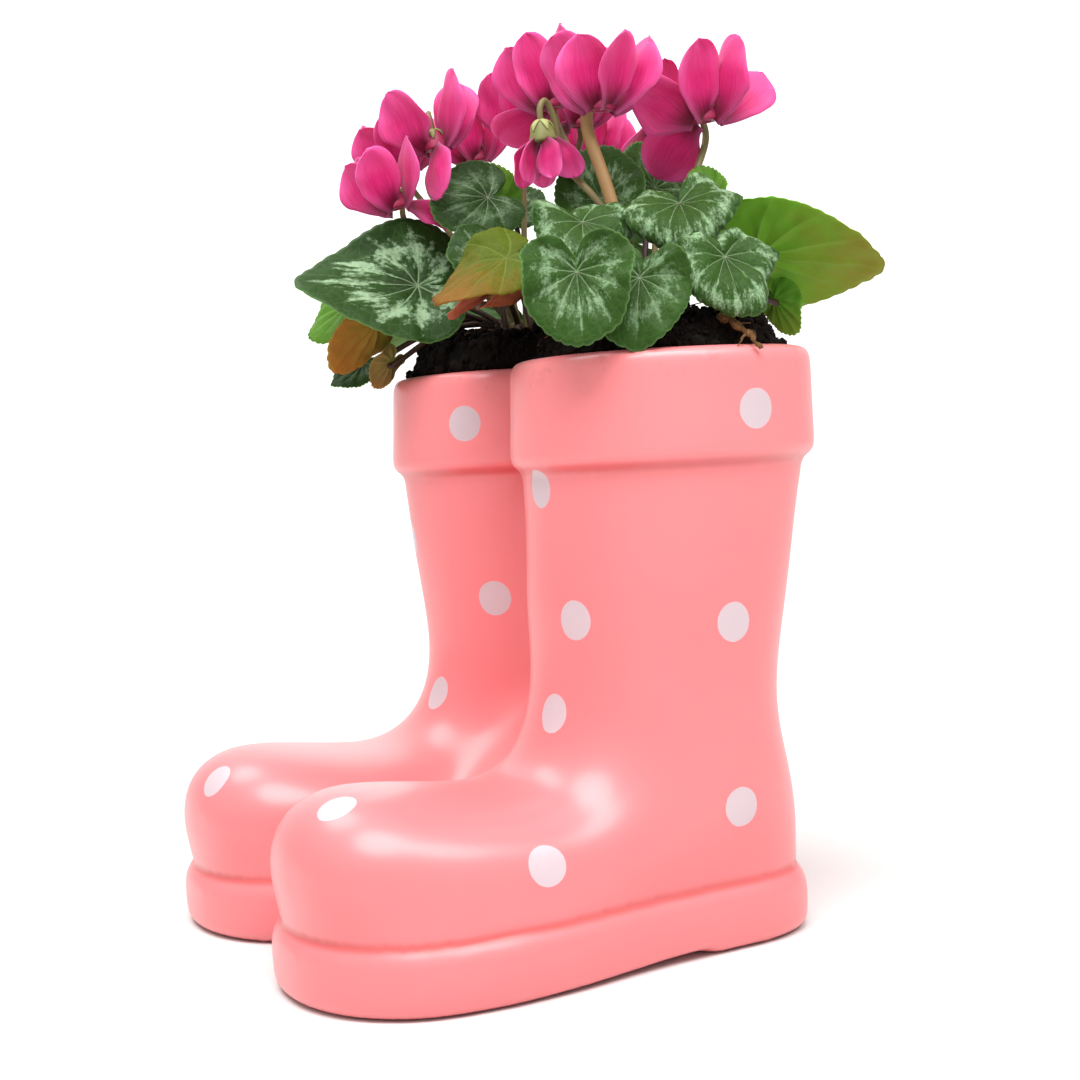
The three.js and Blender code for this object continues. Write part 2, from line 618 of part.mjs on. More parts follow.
const numbered = (n) => String(n).padStart(2, '0');

function build() {
  const group = new THREE.Group();
  group.name = 'potted_cyclamen';
  addNode(group, 'planter', planter(), GLAZE);
  for (const [plant, side] of [['left', 1], ['right', -1]]) {
    addNode(group, `soil_${plant}`, soil(side), PEAT);
    addNode(group, `tuber_${plant}`, tuber(side, plant), CORM);
    let count = 0;
    LEAVES.forEach((row, i) => {
      if (row[0] !== plant) return;
      count += 1;
      addNode(group, `leaf_${plant}_${numbered(count)}`, leaf(i), LEAF_GREEN);
    });
    count = 0;
    BLOOMS.forEach((row, i) => {
      if (row[0] !== plant) return;
      count += 1;
      addNode(group, `bloom_${plant}_${numbered(count)}`, bloom(i), PETAL_PINK);
      addNode(group, `stalk_${plant}_${numbered(count)}`, stalk(i), STALK_BROWN);
    });
  }
  return group;
}

export default build();
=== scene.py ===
import bpy
import numpy as np
from mathutils import Matrix


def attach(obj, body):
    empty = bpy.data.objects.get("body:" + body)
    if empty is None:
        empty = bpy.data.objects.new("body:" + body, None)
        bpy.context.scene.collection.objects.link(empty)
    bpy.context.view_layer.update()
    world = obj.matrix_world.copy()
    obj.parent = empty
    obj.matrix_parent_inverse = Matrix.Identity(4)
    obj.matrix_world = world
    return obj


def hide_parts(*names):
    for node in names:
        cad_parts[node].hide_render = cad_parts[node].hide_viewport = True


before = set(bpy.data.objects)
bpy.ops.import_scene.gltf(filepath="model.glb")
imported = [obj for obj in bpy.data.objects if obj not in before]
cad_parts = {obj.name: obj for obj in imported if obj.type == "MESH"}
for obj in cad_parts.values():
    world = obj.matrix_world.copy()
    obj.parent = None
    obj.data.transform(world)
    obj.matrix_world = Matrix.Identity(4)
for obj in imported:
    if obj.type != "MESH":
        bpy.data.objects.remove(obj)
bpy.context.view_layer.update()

# Planter: a pair of rubber boots slip-cast in one piece of earthenware, fused down the insides of the legs and
# soles, and dipped in coral pink glaze with off-white dots. The casting mould and the thick glaze soften every
# crease, so the lofted boots, soles and web are fused by a fine voxel skin and then eased.
BOOT_APART = 53.0
RIM_HEIGHT = 204.0
CUFF_FOOT = 166.0
CUFF_OUTSET = 4.2
WALL = 5.5
SQUARENESS = 0.92
# y and z of the front or upper edge, y and z of the back or lower edge, half width; from toe to leg
BOOT_SECTIONS = np.array([
    [-142, 42, -142, 42, 0], [-136, 58, -139, 25, 26], [-121, 66, -125, 14.5, 40], [-101, 65, -103, 13, 46],
    [-80, 62, -72, 13, 47.5], [-60, 61, -32, 13, 46.5], [-45, 69.5, 12, 13, 45], [-38, 84, 45, 20, 44],
    [-36, 99, 48, 44, 43.5], [-37, 118, 42, 79, 44], [-38.5, 140, 50, 124, 45], [-40, 166, 58, 166, 46],
])
RIM_SECTION = np.array([-38.0, 57.0, 48.0])
# How far the front of each boot stands out beyond its sections and the rim: cast in one mould, but not quite alike
FRONT_SWELL = {
    1: np.array([0, 0, 0, 0, 0, 1, 5, 7, 6.5, 5.4, 2.8, 0.8, 0.4]),
    -1: np.array([0, 0, 0, 0, 0, 0, 0, 0, 0, 0.6, 2.4, 2.8, 2.4]),
}
# Height above the cuff's foot as a share, share of the outset, share of the way from leg to rim
CUFF_ROWS = np.array([
    [0.0, 0.0, 0.0], [0.004, 0.45, 0.0], [0.02, 0.78, 0.0], [0.07, 0.98, 0.05], [0.14, 1.04, 0.12],
    [0.45, 1.0, 0.5], [0.85, 0.98, 0.92], [0.93, 0.88, 0.98], [0.975, 0.62, 1.0], [1.0, 0.05, 1.0],
])
SOLE_OUTLINE = np.array([
    [-142.5, 0], [-140, 18], [-131, 35], [-114, 48], [-90, 52.3], [-62, 51],
    [-30, 46], [0, 43.5], [22, 41.5], [37, 34], [45, 21], [47.5, 0],
])
# Side of the sole and the lower side of the foot: height and how far out from the outline
SOLE_ROWS = np.array([
    [0, -3.0], [0.8, -1.2], [3, 0.2], [10, 0.5], [15, 0.5], [17.5, 0.1], [19.5, -0.9], [21, -2.2], [22.5, -3.1],
    [24.5, -3.0], [28, -2.4], [32, -2.8], [36, -4.6], [41, -9.0], [46, -16.0],
])
# Crease between sole and foot: its height, its depth and how far above and below its middle it reaches
CREASE_HEIGHT = 22.4
CREASE_DEPTH = 0.5
CREASE_REACH = 2.4
# Hollow under the sole: its rise, and where along the boot it starts and ends
ARCH_RISE = 2.4
ARCH_FROM = -85.0
ARCH_TO = -6.0
# Wall between the boots: height, front edge and back edge; then how its edges sweep out beside it
WEB_ROWS = np.array([
    [0, -102, 32], [16, -100, 32], [28, -78, 30], [50, -48, 27], [70, -24, 25], [96, -12, 24], [197, -12, 28],
])
WEB_SWEEP = np.array([[-18, 6], [-10, 1.6], [0, 0], [10, 1.6], [18, 6]])
# Where the loft starts between its first rows, so that the toe closes round
TOE_START = 1.12
# How finely the loft, the sole, the web and the room inside are drawn, before the voxel skin
BOOT_SIDES, LEG_ROWS, CUFF_STEPS = 88, 76, 34
SOLE_STEPS, WEB_STEPS = 70, 50
ROOM_SIDES, ROOM_ROWS = 56, 30
VOXEL = 1.65
# Rounds of easing: first all over, to take off the voxels' steps, then between sole and cuff only
FIRST_ROUNDS, EASING_ROUNDS = 5, 60
SHARP_ANGLE = 50
DOT_RADIUS = 6.75
NO_DOT = -50.0
SIDES = (("left", 1), ("right", -1))
# Dot centres on each boot, x from the boot's own middle: the first ones are those seen in the photo
DOTS = {
    1: [(51, 16, 181.5), (0.6, -41, 160), (17.7, -39, 114.8), (44, 7, 111), (7.6, -44.5, 83), (43.6, 7, 49),
        (46.5, -69, 41.5), (12, -125.5, 62), (-34, -31, 184), (18, 61, 186), (-14, 50, 152), (16, 47, 124),
        (-12, 44, 88), (18, 44, 66), (-44, -70, 38), (-30, -104, 60), (-18, 50, 42)],
    -1: [(33.7, -34.5, 184.3), (33, -25.5, 116.4), (4.3, -39.5, 78), (11.2, -133.7, 56.9), (-51, 10, 180),
         (-16, -37.5, 139), (-44, 12, 138), (-42, -14, 98), (-20, 60, 186), (14, 50, 146), (-28, 40, 104),
         (-44, 14, 56), (2, 46, 74), (-49, -58, 38), (-36, -96, 56), (-40, -118, 30), (24, 48, 44)],
}


def spline(rows, t):
    """Catmull-Rom curve through the rows: between two rows it is the cubic that passes both and leaves each along
    the line between its neighbours."""
    rows = np.asarray(rows, float)
    t = np.clip(np.asarray(t, float), 0, len(rows) - 1)
    i = np.minimum(t.astype(int), len(rows) - 2)
    f = (t - i).reshape(t.shape + (1,) * (rows.ndim - 1))
    a, b, c, d = (rows[np.clip(i + k, 0, len(rows) - 1)] for k in (-1, 0, 1, 2))
    return 0.5 * (2 * b + (c - a) * f + (2 * a - 5 * b + 4 * c - d) * f**2 + (3 * b - a - 3 * c + d) * f**3)


def sampled(rows, count, start=0.0):
    """Points of the curve at even steps from the row numbered start to the last."""
    return spline(rows, np.linspace(start, len(rows) - 1, count))


def around(count):
    """Angles at even steps round a full turn."""
    return np.linspace(0, 2 * np.pi, count, endpoint=False)


def grid_of(x, y, z):
    """Points from three coordinates, each spread to the shape that they have in common."""
    return np.stack(np.broadcast_arrays(x, y, z), -1)


def turned(angle, x, y, z):
    """Points turned about the upright axis by the angle in radians."""
    c, s = np.cos(angle), np.sin(angle)
    return grid_of(x * c - y * s, x * s + y * c, z)


def unit(vectors):
    return vectors / np.maximum(np.linalg.norm(vectors, axis=-1, keepdims=True), 1e-9)


def sections(rows, sides):
    """Superellipse rings: across is half width times signed |sin|^0.92, and y and z run from the front or upper
    edge to the back or lower edge by signed |cos|^0.92."""
    turn = around(sides)
    c = np.sign(np.cos(turn)) * np.abs(np.cos(turn)) ** SQUARENESS
    s = np.sign(np.sin(turn)) * np.abs(np.sin(turn)) ** SQUARENESS
    yu, zu, yd, zd, half = (np.asarray(rows)[:, k, None] for k in range(5))
    return np.stack([half * s, (yu + yd) / 2 + (yu - yd) / 2 * c, (zu + zd) / 2 + (zu - zd) / 2 * c], -1)


def skin(grid):
    """Closed skin over a grid of rings: quads from ring to ring and a fan at each end to the ring's middle."""
    rows, sides, _ = grid.shape
    index = np.arange(rows * sides).reshape(rows, sides)
    quads = np.stack([index[:-1], np.roll(index[:-1], -1, 1), np.roll(index[1:], -1, 1), index[1:]], -1)
    low = np.stack([np.full(sides, rows * sides), np.roll(index[0], -1), index[0]], -1)
    high = np.stack([np.full(sides, rows * sides + 1), index[-1], np.roll(index[-1], -1)], -1)
    points = np.concatenate([grid.reshape(-1, 3), [grid[0].mean(0)], [grid[-1].mean(0)]])
    return points, [quads.reshape(-1, 4), low, high]


def together(parts):
    """One set of points and faces from several: each turned right side out, its faces renumbered by the points
    before them."""
    points, faces, start = [], [], 0
    for some, lists in parts:
        points.append(some)
        faces += [face + start for face in outward(some, lists)]
        start += len(some)
    return np.concatenate(points), faces


def outward(points, faces):
    """The faces turned right side out: the sum of a . (b x c) over all triangles is the volume, so it is positive."""
    total = 0
    for face in faces:
        for k in range(1, face.shape[1] - 1):
            a, b, c = points[face[:, 0]], points[face[:, k]], points[face[:, k + 1]]
            total += np.einsum("ij,ij", a, np.cross(b, c))
    return faces if total > 0 else [face[:, ::-1] for face in faces]


def make_object(name, points, faces, materials=(), which=None, fields=None):
    """Smooth mesh object from points in millimetres and arrays of faces; which is a material number for each array,
    and fields are values kept at each point."""
    mesh = bpy.data.meshes.new(name)
    mesh.from_pydata((np.asarray(points) * 0.001).tolist(), [], sum((f.tolist() for f in faces), []))
    for material in materials:
        mesh.materials.append(material)
    if which is not None:
        numbers = np.concatenate([np.full(len(f), w) for f, w in zip(faces, which)])
        mesh.polygons.foreach_set("material_index", numbers.astype(np.int32))
    for key, values in (fields or {}).items():
        kind, slot = ("FLOAT", "value") if np.ndim(values) == 1 else ("FLOAT_VECTOR", "vector")
        field = mesh.attributes.new(key, kind, "POINT")
        field.data.foreach_set(slot, np.asarray(values, np.float32).ravel())
    mesh.shade_smooth()
    made = bpy.data.objects.new(name, mesh)
    bpy.context.scene.collection.objects.link(made)
    return made


def linear(hex_colour):
    """sRGB hex to linear RGBA."""
    c = np.array([int(hex_colour[k:k + 2], 16) for k in (1, 3, 5)]) / 255
    return (*np.where(c <= 0.04045, c / 12.92, ((c + 0.055) / 1.055) ** 2.4), 1.0)


def add(tree, kind, feeds=None, **settings):
    """Adds a node; settings are its own properties, feeds are values or outputs for its sockets."""
    made = tree.nodes.new(kind)
    for key, value in settings.items():
        setattr(made, key, value)
    for key, value in (feeds or {}).items():
        if isinstance(value, bpy.types.NodeSocket):
            tree.links.new(value, made.inputs[key])
        else:
            made.inputs[key].default_value = value
    return made.outputs


def own_place(tree):
    return add(tree, "ShaderNodeTexCoord")["Object"]


def field(tree, name, output="Vector"):
    """Values kept at the points of the mesh."""
    return add(tree, "ShaderNodeAttribute", attribute_name=name)[output]


def split(tree, vector):
    return add(tree, "ShaderNodeSeparateXYZ", {"Vector": vector})


def maths(tree, operation, *values, clamp=False):
    return add(tree, "ShaderNodeMath", dict(enumerate(values)), operation=operation, use_clamp=clamp)[0]


def times(tree, a, b, plus=None):
    return maths(tree, "MULTIPLY", a, b) if plus is None else maths(tree, "MULTIPLY_ADD", a, b, plus)


def mixed(tree, share, first, second):
    """The first colour where share is 0 and the second where it is 1; a colour is a hex or an output."""
    first, second = (linear(c) if isinstance(c, str) else c for c in (first, second))
    return add(tree, "ShaderNodeMix", {0: share, 6: first, 7: second}, data_type="RGBA")[2]


def coated(tree, colour, *coats):
    """The colour with others laid over it one after the other; each coat is its share and its colour."""
    for share, over in coats:
        colour = mixed(tree, share, colour, over)
    return colour


def apart(tree, a, b):
    return maths(tree, "ABSOLUTE", maths(tree, "SUBTRACT", a, b))


def ranged(tree, value, low, high, start=0.0, end=1.0, smooth=False):
    """Start where the value is at or before low, end where it is at or past high, in a line or eased between."""
    feeds = {"Value": value, "From Min": low, "From Max": high, "To Min": start, "To Max": end}
    return add(tree, "ShaderNodeMapRange", feeds, interpolation_type="SMOOTHSTEP" if smooth else "LINEAR")["Result"]


def noise(tree, place, scale, detail=2.0, roughness=0.5):
    feeds = {"Vector": place, "Scale": scale, "Detail": detail, "Roughness": roughness}
    return add(tree, "ShaderNodeTexNoise", feeds)["Fac"]


def bumped(tree, strength, distance, height):
    return add(tree, "ShaderNodeBump", {"Strength": strength, "Distance": distance, "Height": height})["Normal"]


def new_material(name):
    material = bpy.data.materials.new(name)
    material.use_nodes = True
    material.node_tree.nodes.clear()
    return material, material.node_tree


def glow(weight, reach, scale=0.001):
    """Light that passes through: how much, how far for each of red, green and blue, and by what length."""
    return {"Subsurface Weight": weight, "Subsurface Radius": reach, "Subsurface Scale": scale}


def finished(material, colour, rough, others):
    """The material with its surface; others are further sockets and what feeds them."""
    feeds = {"Base Color": colour, "Roughness": rough, **others}
    surface = add(material.node_tree, "ShaderNodeBsdfPrincipled", feeds)
    add(material.node_tree, "ShaderNodeOutputMaterial", {"Surface": surface["BSDF"]})
    return material


def boot(side):
    """Foot and leg lofted through the sections, their fronts moved out by the swell, then the cuff: leg section plus
    outset, easing to the rim's."""
    swell = FRONT_SWELL[side]
    shape = BOOT_SECTIONS - swell[:-1, None] * [1, 0, 0, 0, 0]
    rim = RIM_SECTION - [swell[-1], 0, 0]
    rows = np.vstack([shape[1][[2, 3, 0, 1, 4]] * [1, 1, 1, 1, -1], shape])
    leg = sampled(rows, LEG_ROWS, TOE_START)
    high, out, way = sampled(CUFF_ROWS, CUFF_STEPS).T
    front, back, half = (shape[-1][2 * k] + (rim[k] - shape[-1][2 * k]) * way + sign * CUFF_OUTSET * out
                         for k, sign in enumerate((-1, 1, 1)))
    z = CUFF_FOOT + high * (RIM_HEIGHT - CUFF_FOOT)
    cuff = np.stack([front, z, back, z, half], -1)
    return skin(sections(np.vstack([leg, cuff[1:]]), BOOT_SIDES))


def sole():
    """Outline of the sole carried up its side: each row stands out or in along the outline's normal. The
    underside is hollowed 2.4 mm from the ball of the foot to the front of the heel."""
    rows = SOLE_OUTLINE
    rows = np.vstack([rows[1] * [1, -1], rows, rows[-2] * [1, -1]])
    half = spline(rows, np.linspace(1, len(rows) - 2, SOLE_STEPS))
    y, x = np.vstack([half, (half * [1, -1])[-2:0:-1]]).T
    dy, dx = (np.roll(w, -1) - np.roll(w, 1) for w in (y, x))
    size = np.hypot(dx, dy)
    z, out = SOLE_ROWS.T[:, :, None]
    rise = ARCH_RISE * np.clip((y - ARCH_FROM) / (ARCH_TO - ARCH_FROM), 0, 1) ** 1.2
    lift = rise * np.clip((ARCH_TO - y) / 2.5, 0, 1) * np.clip(1 - z / 8, 0, 1)
    return skin(np.stack([x + out * dy / size, y - out * dx / size, z + lift], -1))


def web():
    """Wall between the boots: front and back edges at each height, swept out towards the boots."""
    z, front, back = sampled(WEB_ROWS, WEB_STEPS).T[:, :, None]
    x, sweep = WEB_SWEEP.T
    return skin(np.concatenate([grid_of(x, front - sweep, z), grid_of(-x, back + sweep[::-1], z)], 1))


def inside(inset, count, sides):
    """Room in a boot: each section drawn in by the wall along its own long side and across."""
    yu, zu, yd, zd, half = BOOT_SECTIONS.T
    size = np.maximum(np.hypot(yd - yu, zd - zu), 1e-6)
    ey, ez = (yd - yu) / size * inset, (zd - zu) / size * inset
    return sections(sampled(np.stack([yu + ey, zu + ez, yd - ey, zd - ez, half - inset], -1), count, 1.5), sides)


def level_ring(inset, z, share, sides):
    """Level section of the cuff's inside at height z, shrunk about its middle to the share."""
    z, share = np.atleast_1d(z), np.atleast_1d(share)
    way = (z - CUFF_FOOT) / (RIM_HEIGHT - CUFF_FOOT)
    front, back, half = (leg + (rim - leg) * way for leg, rim in zip(BOOT_SECTIONS[-1][::2], RIM_SECTION))
    middle, reach = (front + back) / 2, ((back - front) / 2 - inset) * share
    return sections(np.stack([middle - reach, z, middle + reach, z, (half - inset) * share], -1), sides)


def shifted(shape, x):
    return shape[0] + [x, 0, 0], shape[1]


def with_modifiers(piece):
    """The piece's mesh as its modifiers leave it."""
    return bpy.data.meshes.new_from_object(piece.evaluated_get(bpy.context.evaluated_depsgraph_get()))


def read_points(mesh):
    """Points of a mesh in millimetres, and their normals."""
    co, facing = np.zeros(len(mesh.vertices) * 3), np.zeros(len(mesh.vertices) * 3)
    mesh.vertices.foreach_get("co", co)
    mesh.vertex_normals.foreach_get("vector", facing)
    return co.reshape(-1, 3) * 1000, facing.reshape(-1, 3)


def write_points(mesh, points):
    mesh.vertices.foreach_set("co", (points * 0.001).ravel())
    mesh.update()


def eased(points, pairs, weight, rounds):
    """Each point goes to the mean of its neighbours by its weight, round after round, as thick slip and glaze fill
    a hollow."""
    a, b = pairs.T
    count = np.bincount(pairs.ravel(), minlength=len(points))
    for _ in range(rounds):
        total = [np.bincount(a, w[b], len(w)) + np.bincount(b, w[a], len(w)) for w in points.T]
        points = points + weight[:, None] * (np.stack(total, -1) / count[:, None] - points)
    return points


solid_parts = [web()]
hollow_parts = []
for side in (-1, 1):
    solid_parts += [shifted(boot(side), side * BOOT_APART), shifted(sole(), side * BOOT_APART)]
    lip = level_ring(WALL, RIM_HEIGHT + np.array([-3, -0.8, 3]), np.array([1, 1.01, 1.06]), ROOM_SIDES)
    room = np.concatenate([inside(WALL, ROOM_ROWS, ROOM_SIDES), lip])
    hollow_parts.append(shifted(skin(room), side * BOOT_APART))
casting = make_object("casting", *together(solid_parts))
core = make_object("core", *together(hollow_parts))
casting.modifiers.new("fused", "REMESH").voxel_size = VOXEL * 0.001
casting.data = with_modifiers(casting)
casting.modifiers.clear()
cast, _ = read_points(casting.data)
pairs = np.zeros(len(casting.data.edges) * 2, np.int32)
casting.data.edges.foreach_get("vertices", pairs)
pairs = pairs.reshape(-1, 2)
low, high = np.clip((cast[:, 2] - CREASE_HEIGHT - 1) / 6, 0, 1), np.clip((CUFF_FOOT - 6 - cast[:, 2]) / 12, 0, 1)
cast = eased(cast, pairs, np.full(len(cast), 0.5), FIRST_ROUNDS)
cast = eased(cast, pairs, 0.6 * np.minimum(low, high), EASING_ROUNDS)
write_points(casting.data, cast)
cast, facing = read_points(casting.data)
groove = CREASE_DEPTH * np.exp(-2 * ((cast[:, 2] - CREASE_HEIGHT) / CREASE_REACH) ** 2)
write_points(casting.data, cast - facing * [1, 1, 0] * groove[:, None])
poured = casting.modifiers.new("poured", "BOOLEAN")
poured.operation = "DIFFERENCE"
poured.solver = "MANIFOLD"
poured.object = core
mesh = with_modifiers(casting)
bpy.data.objects.remove(casting)
bpy.data.objects.remove(core)

co, facing = read_points(mesh)
dot = np.full(len(co), NO_DOT)
for side, centres in DOTS.items():
    for centre in centres:
        away = np.linalg.norm(co - (np.array(centre) + [side * BOOT_APART, 0, 0]), axis=1)
        nearest = np.argmin(away)
        reach = np.linalg.norm(co - co[nearest], axis=1)
        dot = np.where(facing @ facing[nearest] > 0, np.maximum(dot, DOT_RADIUS - reach), dot)
mesh.attributes.new("dot", "FLOAT", "POINT").data.foreach_set("value", dot.astype(np.float32))
mesh.shade_smooth()
mesh.set_sharp_from_angle(angle=np.radians(SHARP_ANGLE))
planter = bpy.data.objects.new("glazed_planter", mesh)
bpy.context.scene.collection.objects.link(planter)


def glaze():
    """Glazed earthenware, IOR 1.5. Coral pink, faintly clouded over 40 mm; darker low down and paler high up, a
    painted shade;
    darker in creases, a painted shade, and paler on ridges, a painted highlight; painted shadow lines along the
    crease above the sole and under the cuff's foot. Off-white stamped dots, a few pinholes, and a little soil dust
    near the rim."""
    material, tree = new_material("glazed earthenware")
    place = own_place(tree)
    height = split(tree, place)["Z"]
    clouds = noise(tree, place, 25.0, 3.0)
    # Painted shade: the tone is darker below 110 mm and paler above 185 mm, easing between
    run = ranged(tree, height, 0.185, 0.11, smooth=True)
    tone = mixed(tree, run, mixed(tree, clouds, "#EC8184", "#E57A7D"), mixed(tree, clouds, "#E8787B", "#E07073"))
    # Painted shade in creases and a painted highlight on ridges, both from the mesh's pointiness
    bend = add(tree, "ShaderNodeNewGeometry")["Pointiness"]
    painted_crease_shade, painted_ridge_highlight = ranged(tree, bend, 0.5, 0.44), ranged(tree, bend, 0.51, 0.58, 0.0, 0.5)
    # Painted shadow lines: darker bands at the crease above the sole and just under the cuff's foot
    off_shadow_lines = maths(tree, "MINIMUM", apart(tree, height, 0.001 * CREASE_HEIGHT),
                      apart(tree, height, 0.001 * CUFF_FOOT - 0.0006))
    line = ranged(tree, off_shadow_lines, 0.0024, 0.0003, 0.0, 0.6, smooth=True)
    grit = add(tree, "ShaderNodeTexVoronoi", {"Vector": place, "Scale": 160.0})
    pinhole = times(tree, maths(tree, "LESS_THAN", grit["Color"], 0.035),
                    maths(tree, "LESS_THAN", grit["Distance"], 0.07))
    dusty = ranged(tree, noise(tree, place, 90.0, 6.0, 0.7), 0.56, 0.72, 0.0, 0.5)
    soiled = times(tree, ranged(tree, height, 0.19, 0.204), dusty)
    edge = times(tree, noise(tree, place, 300.0), 0.4, field(tree, "dot", "Fac"))
    white = mixed(tree, clouds, "#C9B6BB", "#BFAAB0")
    colour = coated(tree, tone, (painted_crease_shade, "#D45654"), (painted_ridge_highlight, "#F4A5A4"), (line, "#C24E4C"), (pinhole, "#C25450"),
                    (soiled, "#7A4A3A"), (ranged(tree, edge, 0.1, 0.3), white))
    bump = bumped(tree, 0.25, 0.0004, noise(tree, place, 70.0))
    dull = times(tree, soiled, 0.5, ranged(tree, clouds, 0.0, 1.0, 0.34, 0.44))
    return finished(material, colour, dull, {"Normal": bump, "IOR": 1.5, "Coat Weight": 0.42, "Coat Roughness": 0.25})


mesh.materials.clear()
mesh.materials.append(glaze())
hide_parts("planter")
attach(planter, "root")

# Soil: dark peat compost pressed into each boot and heaped above the rim, crumbly, with pale fibres and a few
# root scraps. The body fills the boot's room; loose crumbs and fibres lie in its surface.
SOIL_EDGE = RIM_HEIGHT - 2.5
SOIL_MOUND = 14.5
SOIL_INSET = WALL + 0.3
SOIL_SIDES, SOIL_ROWS, HEAP_RINGS = 160, 18, 56
CRUMB_COUNT, FIBRE_COUNT = 3000, 46
# Places round the wall that crumbs and fibres are set by
BEARINGS = 360
# Share of the way out from the middle to the wall, share of the mound's height; the right boot's heap lies over
# its rim as well
MOUND_PROFILE = {
    1: np.array([[1.0, 0.05], [0.96, 0.4], [0.88, 0.75], [0.7, 1.0], [0.45, 0.9], [0.0, 0.85]]),
    -1: np.array([[1.1, 0.19], [1.07, 0.5], [1.0, 0.88], [0.9, 1.15], [0.7, 1.25], [0.45, 1.1], [0.0, 0.95]]),
}
draw = np.random.default_rng(7)


def ripple(points, size, seed):
    """Smooth random field: the mean of 16 sine waves of about the given wavelength in seeded directions."""
    some = np.random.default_rng(seed)
    ways = some.normal(size=(16, 3))
    ways *= (2 * np.pi / size * some.uniform(0.7, 1.4, 16) / np.linalg.norm(ways, axis=1))[:, None]
    return np.sin(points @ ways.T + some.uniform(0, 2 * np.pi, 16)).mean(-1) * 2


def mound_height(share, turn, side):
    """Height of the heap: its profile, swayed by two waves that die away towards its outer edge."""
    out, high = MOUND_PROFILE[side][::-1].T
    sway = 1.2 * np.sin(2 * turn + 5 * share + side) + 0.6 * np.sin(5 * turn + side)
    return SOIL_EDGE + SOIL_MOUND * np.interp(share, out, high) + sway * np.clip((out[-1] - share) * 3, 0, 1)


def soil_body(side):
    """Skin of the room up to the rim, then rings drawn in over the heap from its outer edge, lumpy by three sizes
    of ripple."""
    low = np.concatenate([inside(SOIL_INSET, SOIL_ROWS, SOIL_SIDES),
                          level_ring(SOIL_INSET, RIM_HEIGHT + 0.2, 1.0, SOIL_SIDES)])
    share = np.linspace(MOUND_PROFILE[side][0, 0], 0.02, HEAP_RINGS)
    top = level_ring(SOIL_INSET, np.full(HEAP_RINGS, SOIL_EDGE), share, SOIL_SIDES)
    top[..., 2] = mound_height(share[:, None], around(SOIL_SIDES)[None], side)
    lumps = 2.2 * ripple(top, 14, 3) + 1.5 * ripple(top, 6, 4) + 0.9 * ripple(top, 2.6, 5)
    top[..., 2] += lumps * np.clip((share[0] - share) * 6, 0.1, 1)[:, None]
    return skin(np.concatenate([low[:-1] if side > 0 else low, top]))


def crumbs(side, count):
    """Small lumps: an icosahedron stretched, turned and dented at random, half sunk in the heap. One in three lies
    along the wall and just over the edge of the heap."""
    gold = (1 + 5**0.5) / 2
    ico = np.array([(-1, gold, 0), (1, gold, 0), (-1, -gold, 0), (1, -gold, 0), (0, -1, gold), (0, 1, gold),
                    (0, -1, -gold), (0, 1, -gold), (gold, 0, -1), (gold, 0, 1), (-gold, 0, -1), (-gold, 0, 1)]) / 1.9
    face = np.array([(0, 11, 5), (0, 5, 1), (0, 1, 7), (0, 7, 10), (0, 10, 11), (1, 5, 9), (5, 11, 4), (11, 10, 2),
                     (10, 7, 6), (7, 1, 8), (3, 9, 4), (3, 4, 2), (3, 2, 6), (3, 6, 8), (3, 8, 9), (4, 9, 5),
                     (2, 4, 11), (6, 2, 10), (8, 6, 7), (9, 8, 1)])
    over_rim = np.arange(count) < count // 3
    edge = MOUND_PROFILE[side][0, 0]
    share = np.where(over_rim, draw.uniform(edge - 0.12, edge + 0.06, count), np.sqrt(draw.uniform(0.02, 1.0, count)))
    turn = draw.uniform(0, 2 * np.pi, count)
    size = draw.lognormal(-0.2, 0.5, count).clip(0.35, 3.2)
    rim = level_ring(WALL + 0.8, SOIL_EDGE, 1.0, BEARINGS)[0]
    middle = rim.mean(0)
    bearing = (turn / (2 * np.pi) * BEARINGS).astype(int)
    at = middle + (rim[bearing] - middle) * share[:, None]
    heap = mound_height(share, around(BEARINGS)[bearing], side) + 0.6 * size
    at[:, 2] = np.where(over_rim, np.maximum(heap, RIM_HEIGHT + 0.4 * size), heap)
    spin = draw.normal(size=(count, 3, 3))
    spin = np.linalg.qr(spin)[0] * draw.uniform(0.6, 1.2, (count, 1, 3))
    spin *= np.sign(np.linalg.det(spin))[:, None, None]
    lumps = np.einsum("cij,vj->cvi", spin, ico) * size[:, None, None]
    lumps *= 1 + draw.uniform(-0.28, 0.28, (count, 12, 1))
    points = (lumps + at[:, None]).reshape(-1, 3)
    return points, [(face[None] + 12 * np.arange(count)[:, None, None]).reshape(-1, 3)]


def tube(path, radius, sides):
    """Round tube along a path: rings square to the path, each begun square to one fixed direction too; radius is a
    number or one for each point."""
    path = np.asarray(path, float)
    ahead = unit(np.gradient(path, axis=0))
    side = unit(np.cross(ahead, [0.31, 0.87, 0.38]))
    turn = around(sides)[:, None]
    radius = np.broadcast_to(radius, len(path))[:, None, None]
    spoke = side[:, None] * np.cos(turn) + np.cross(ahead, side)[:, None] * np.sin(turn)
    return skin(path[:, None] + spoke * radius)


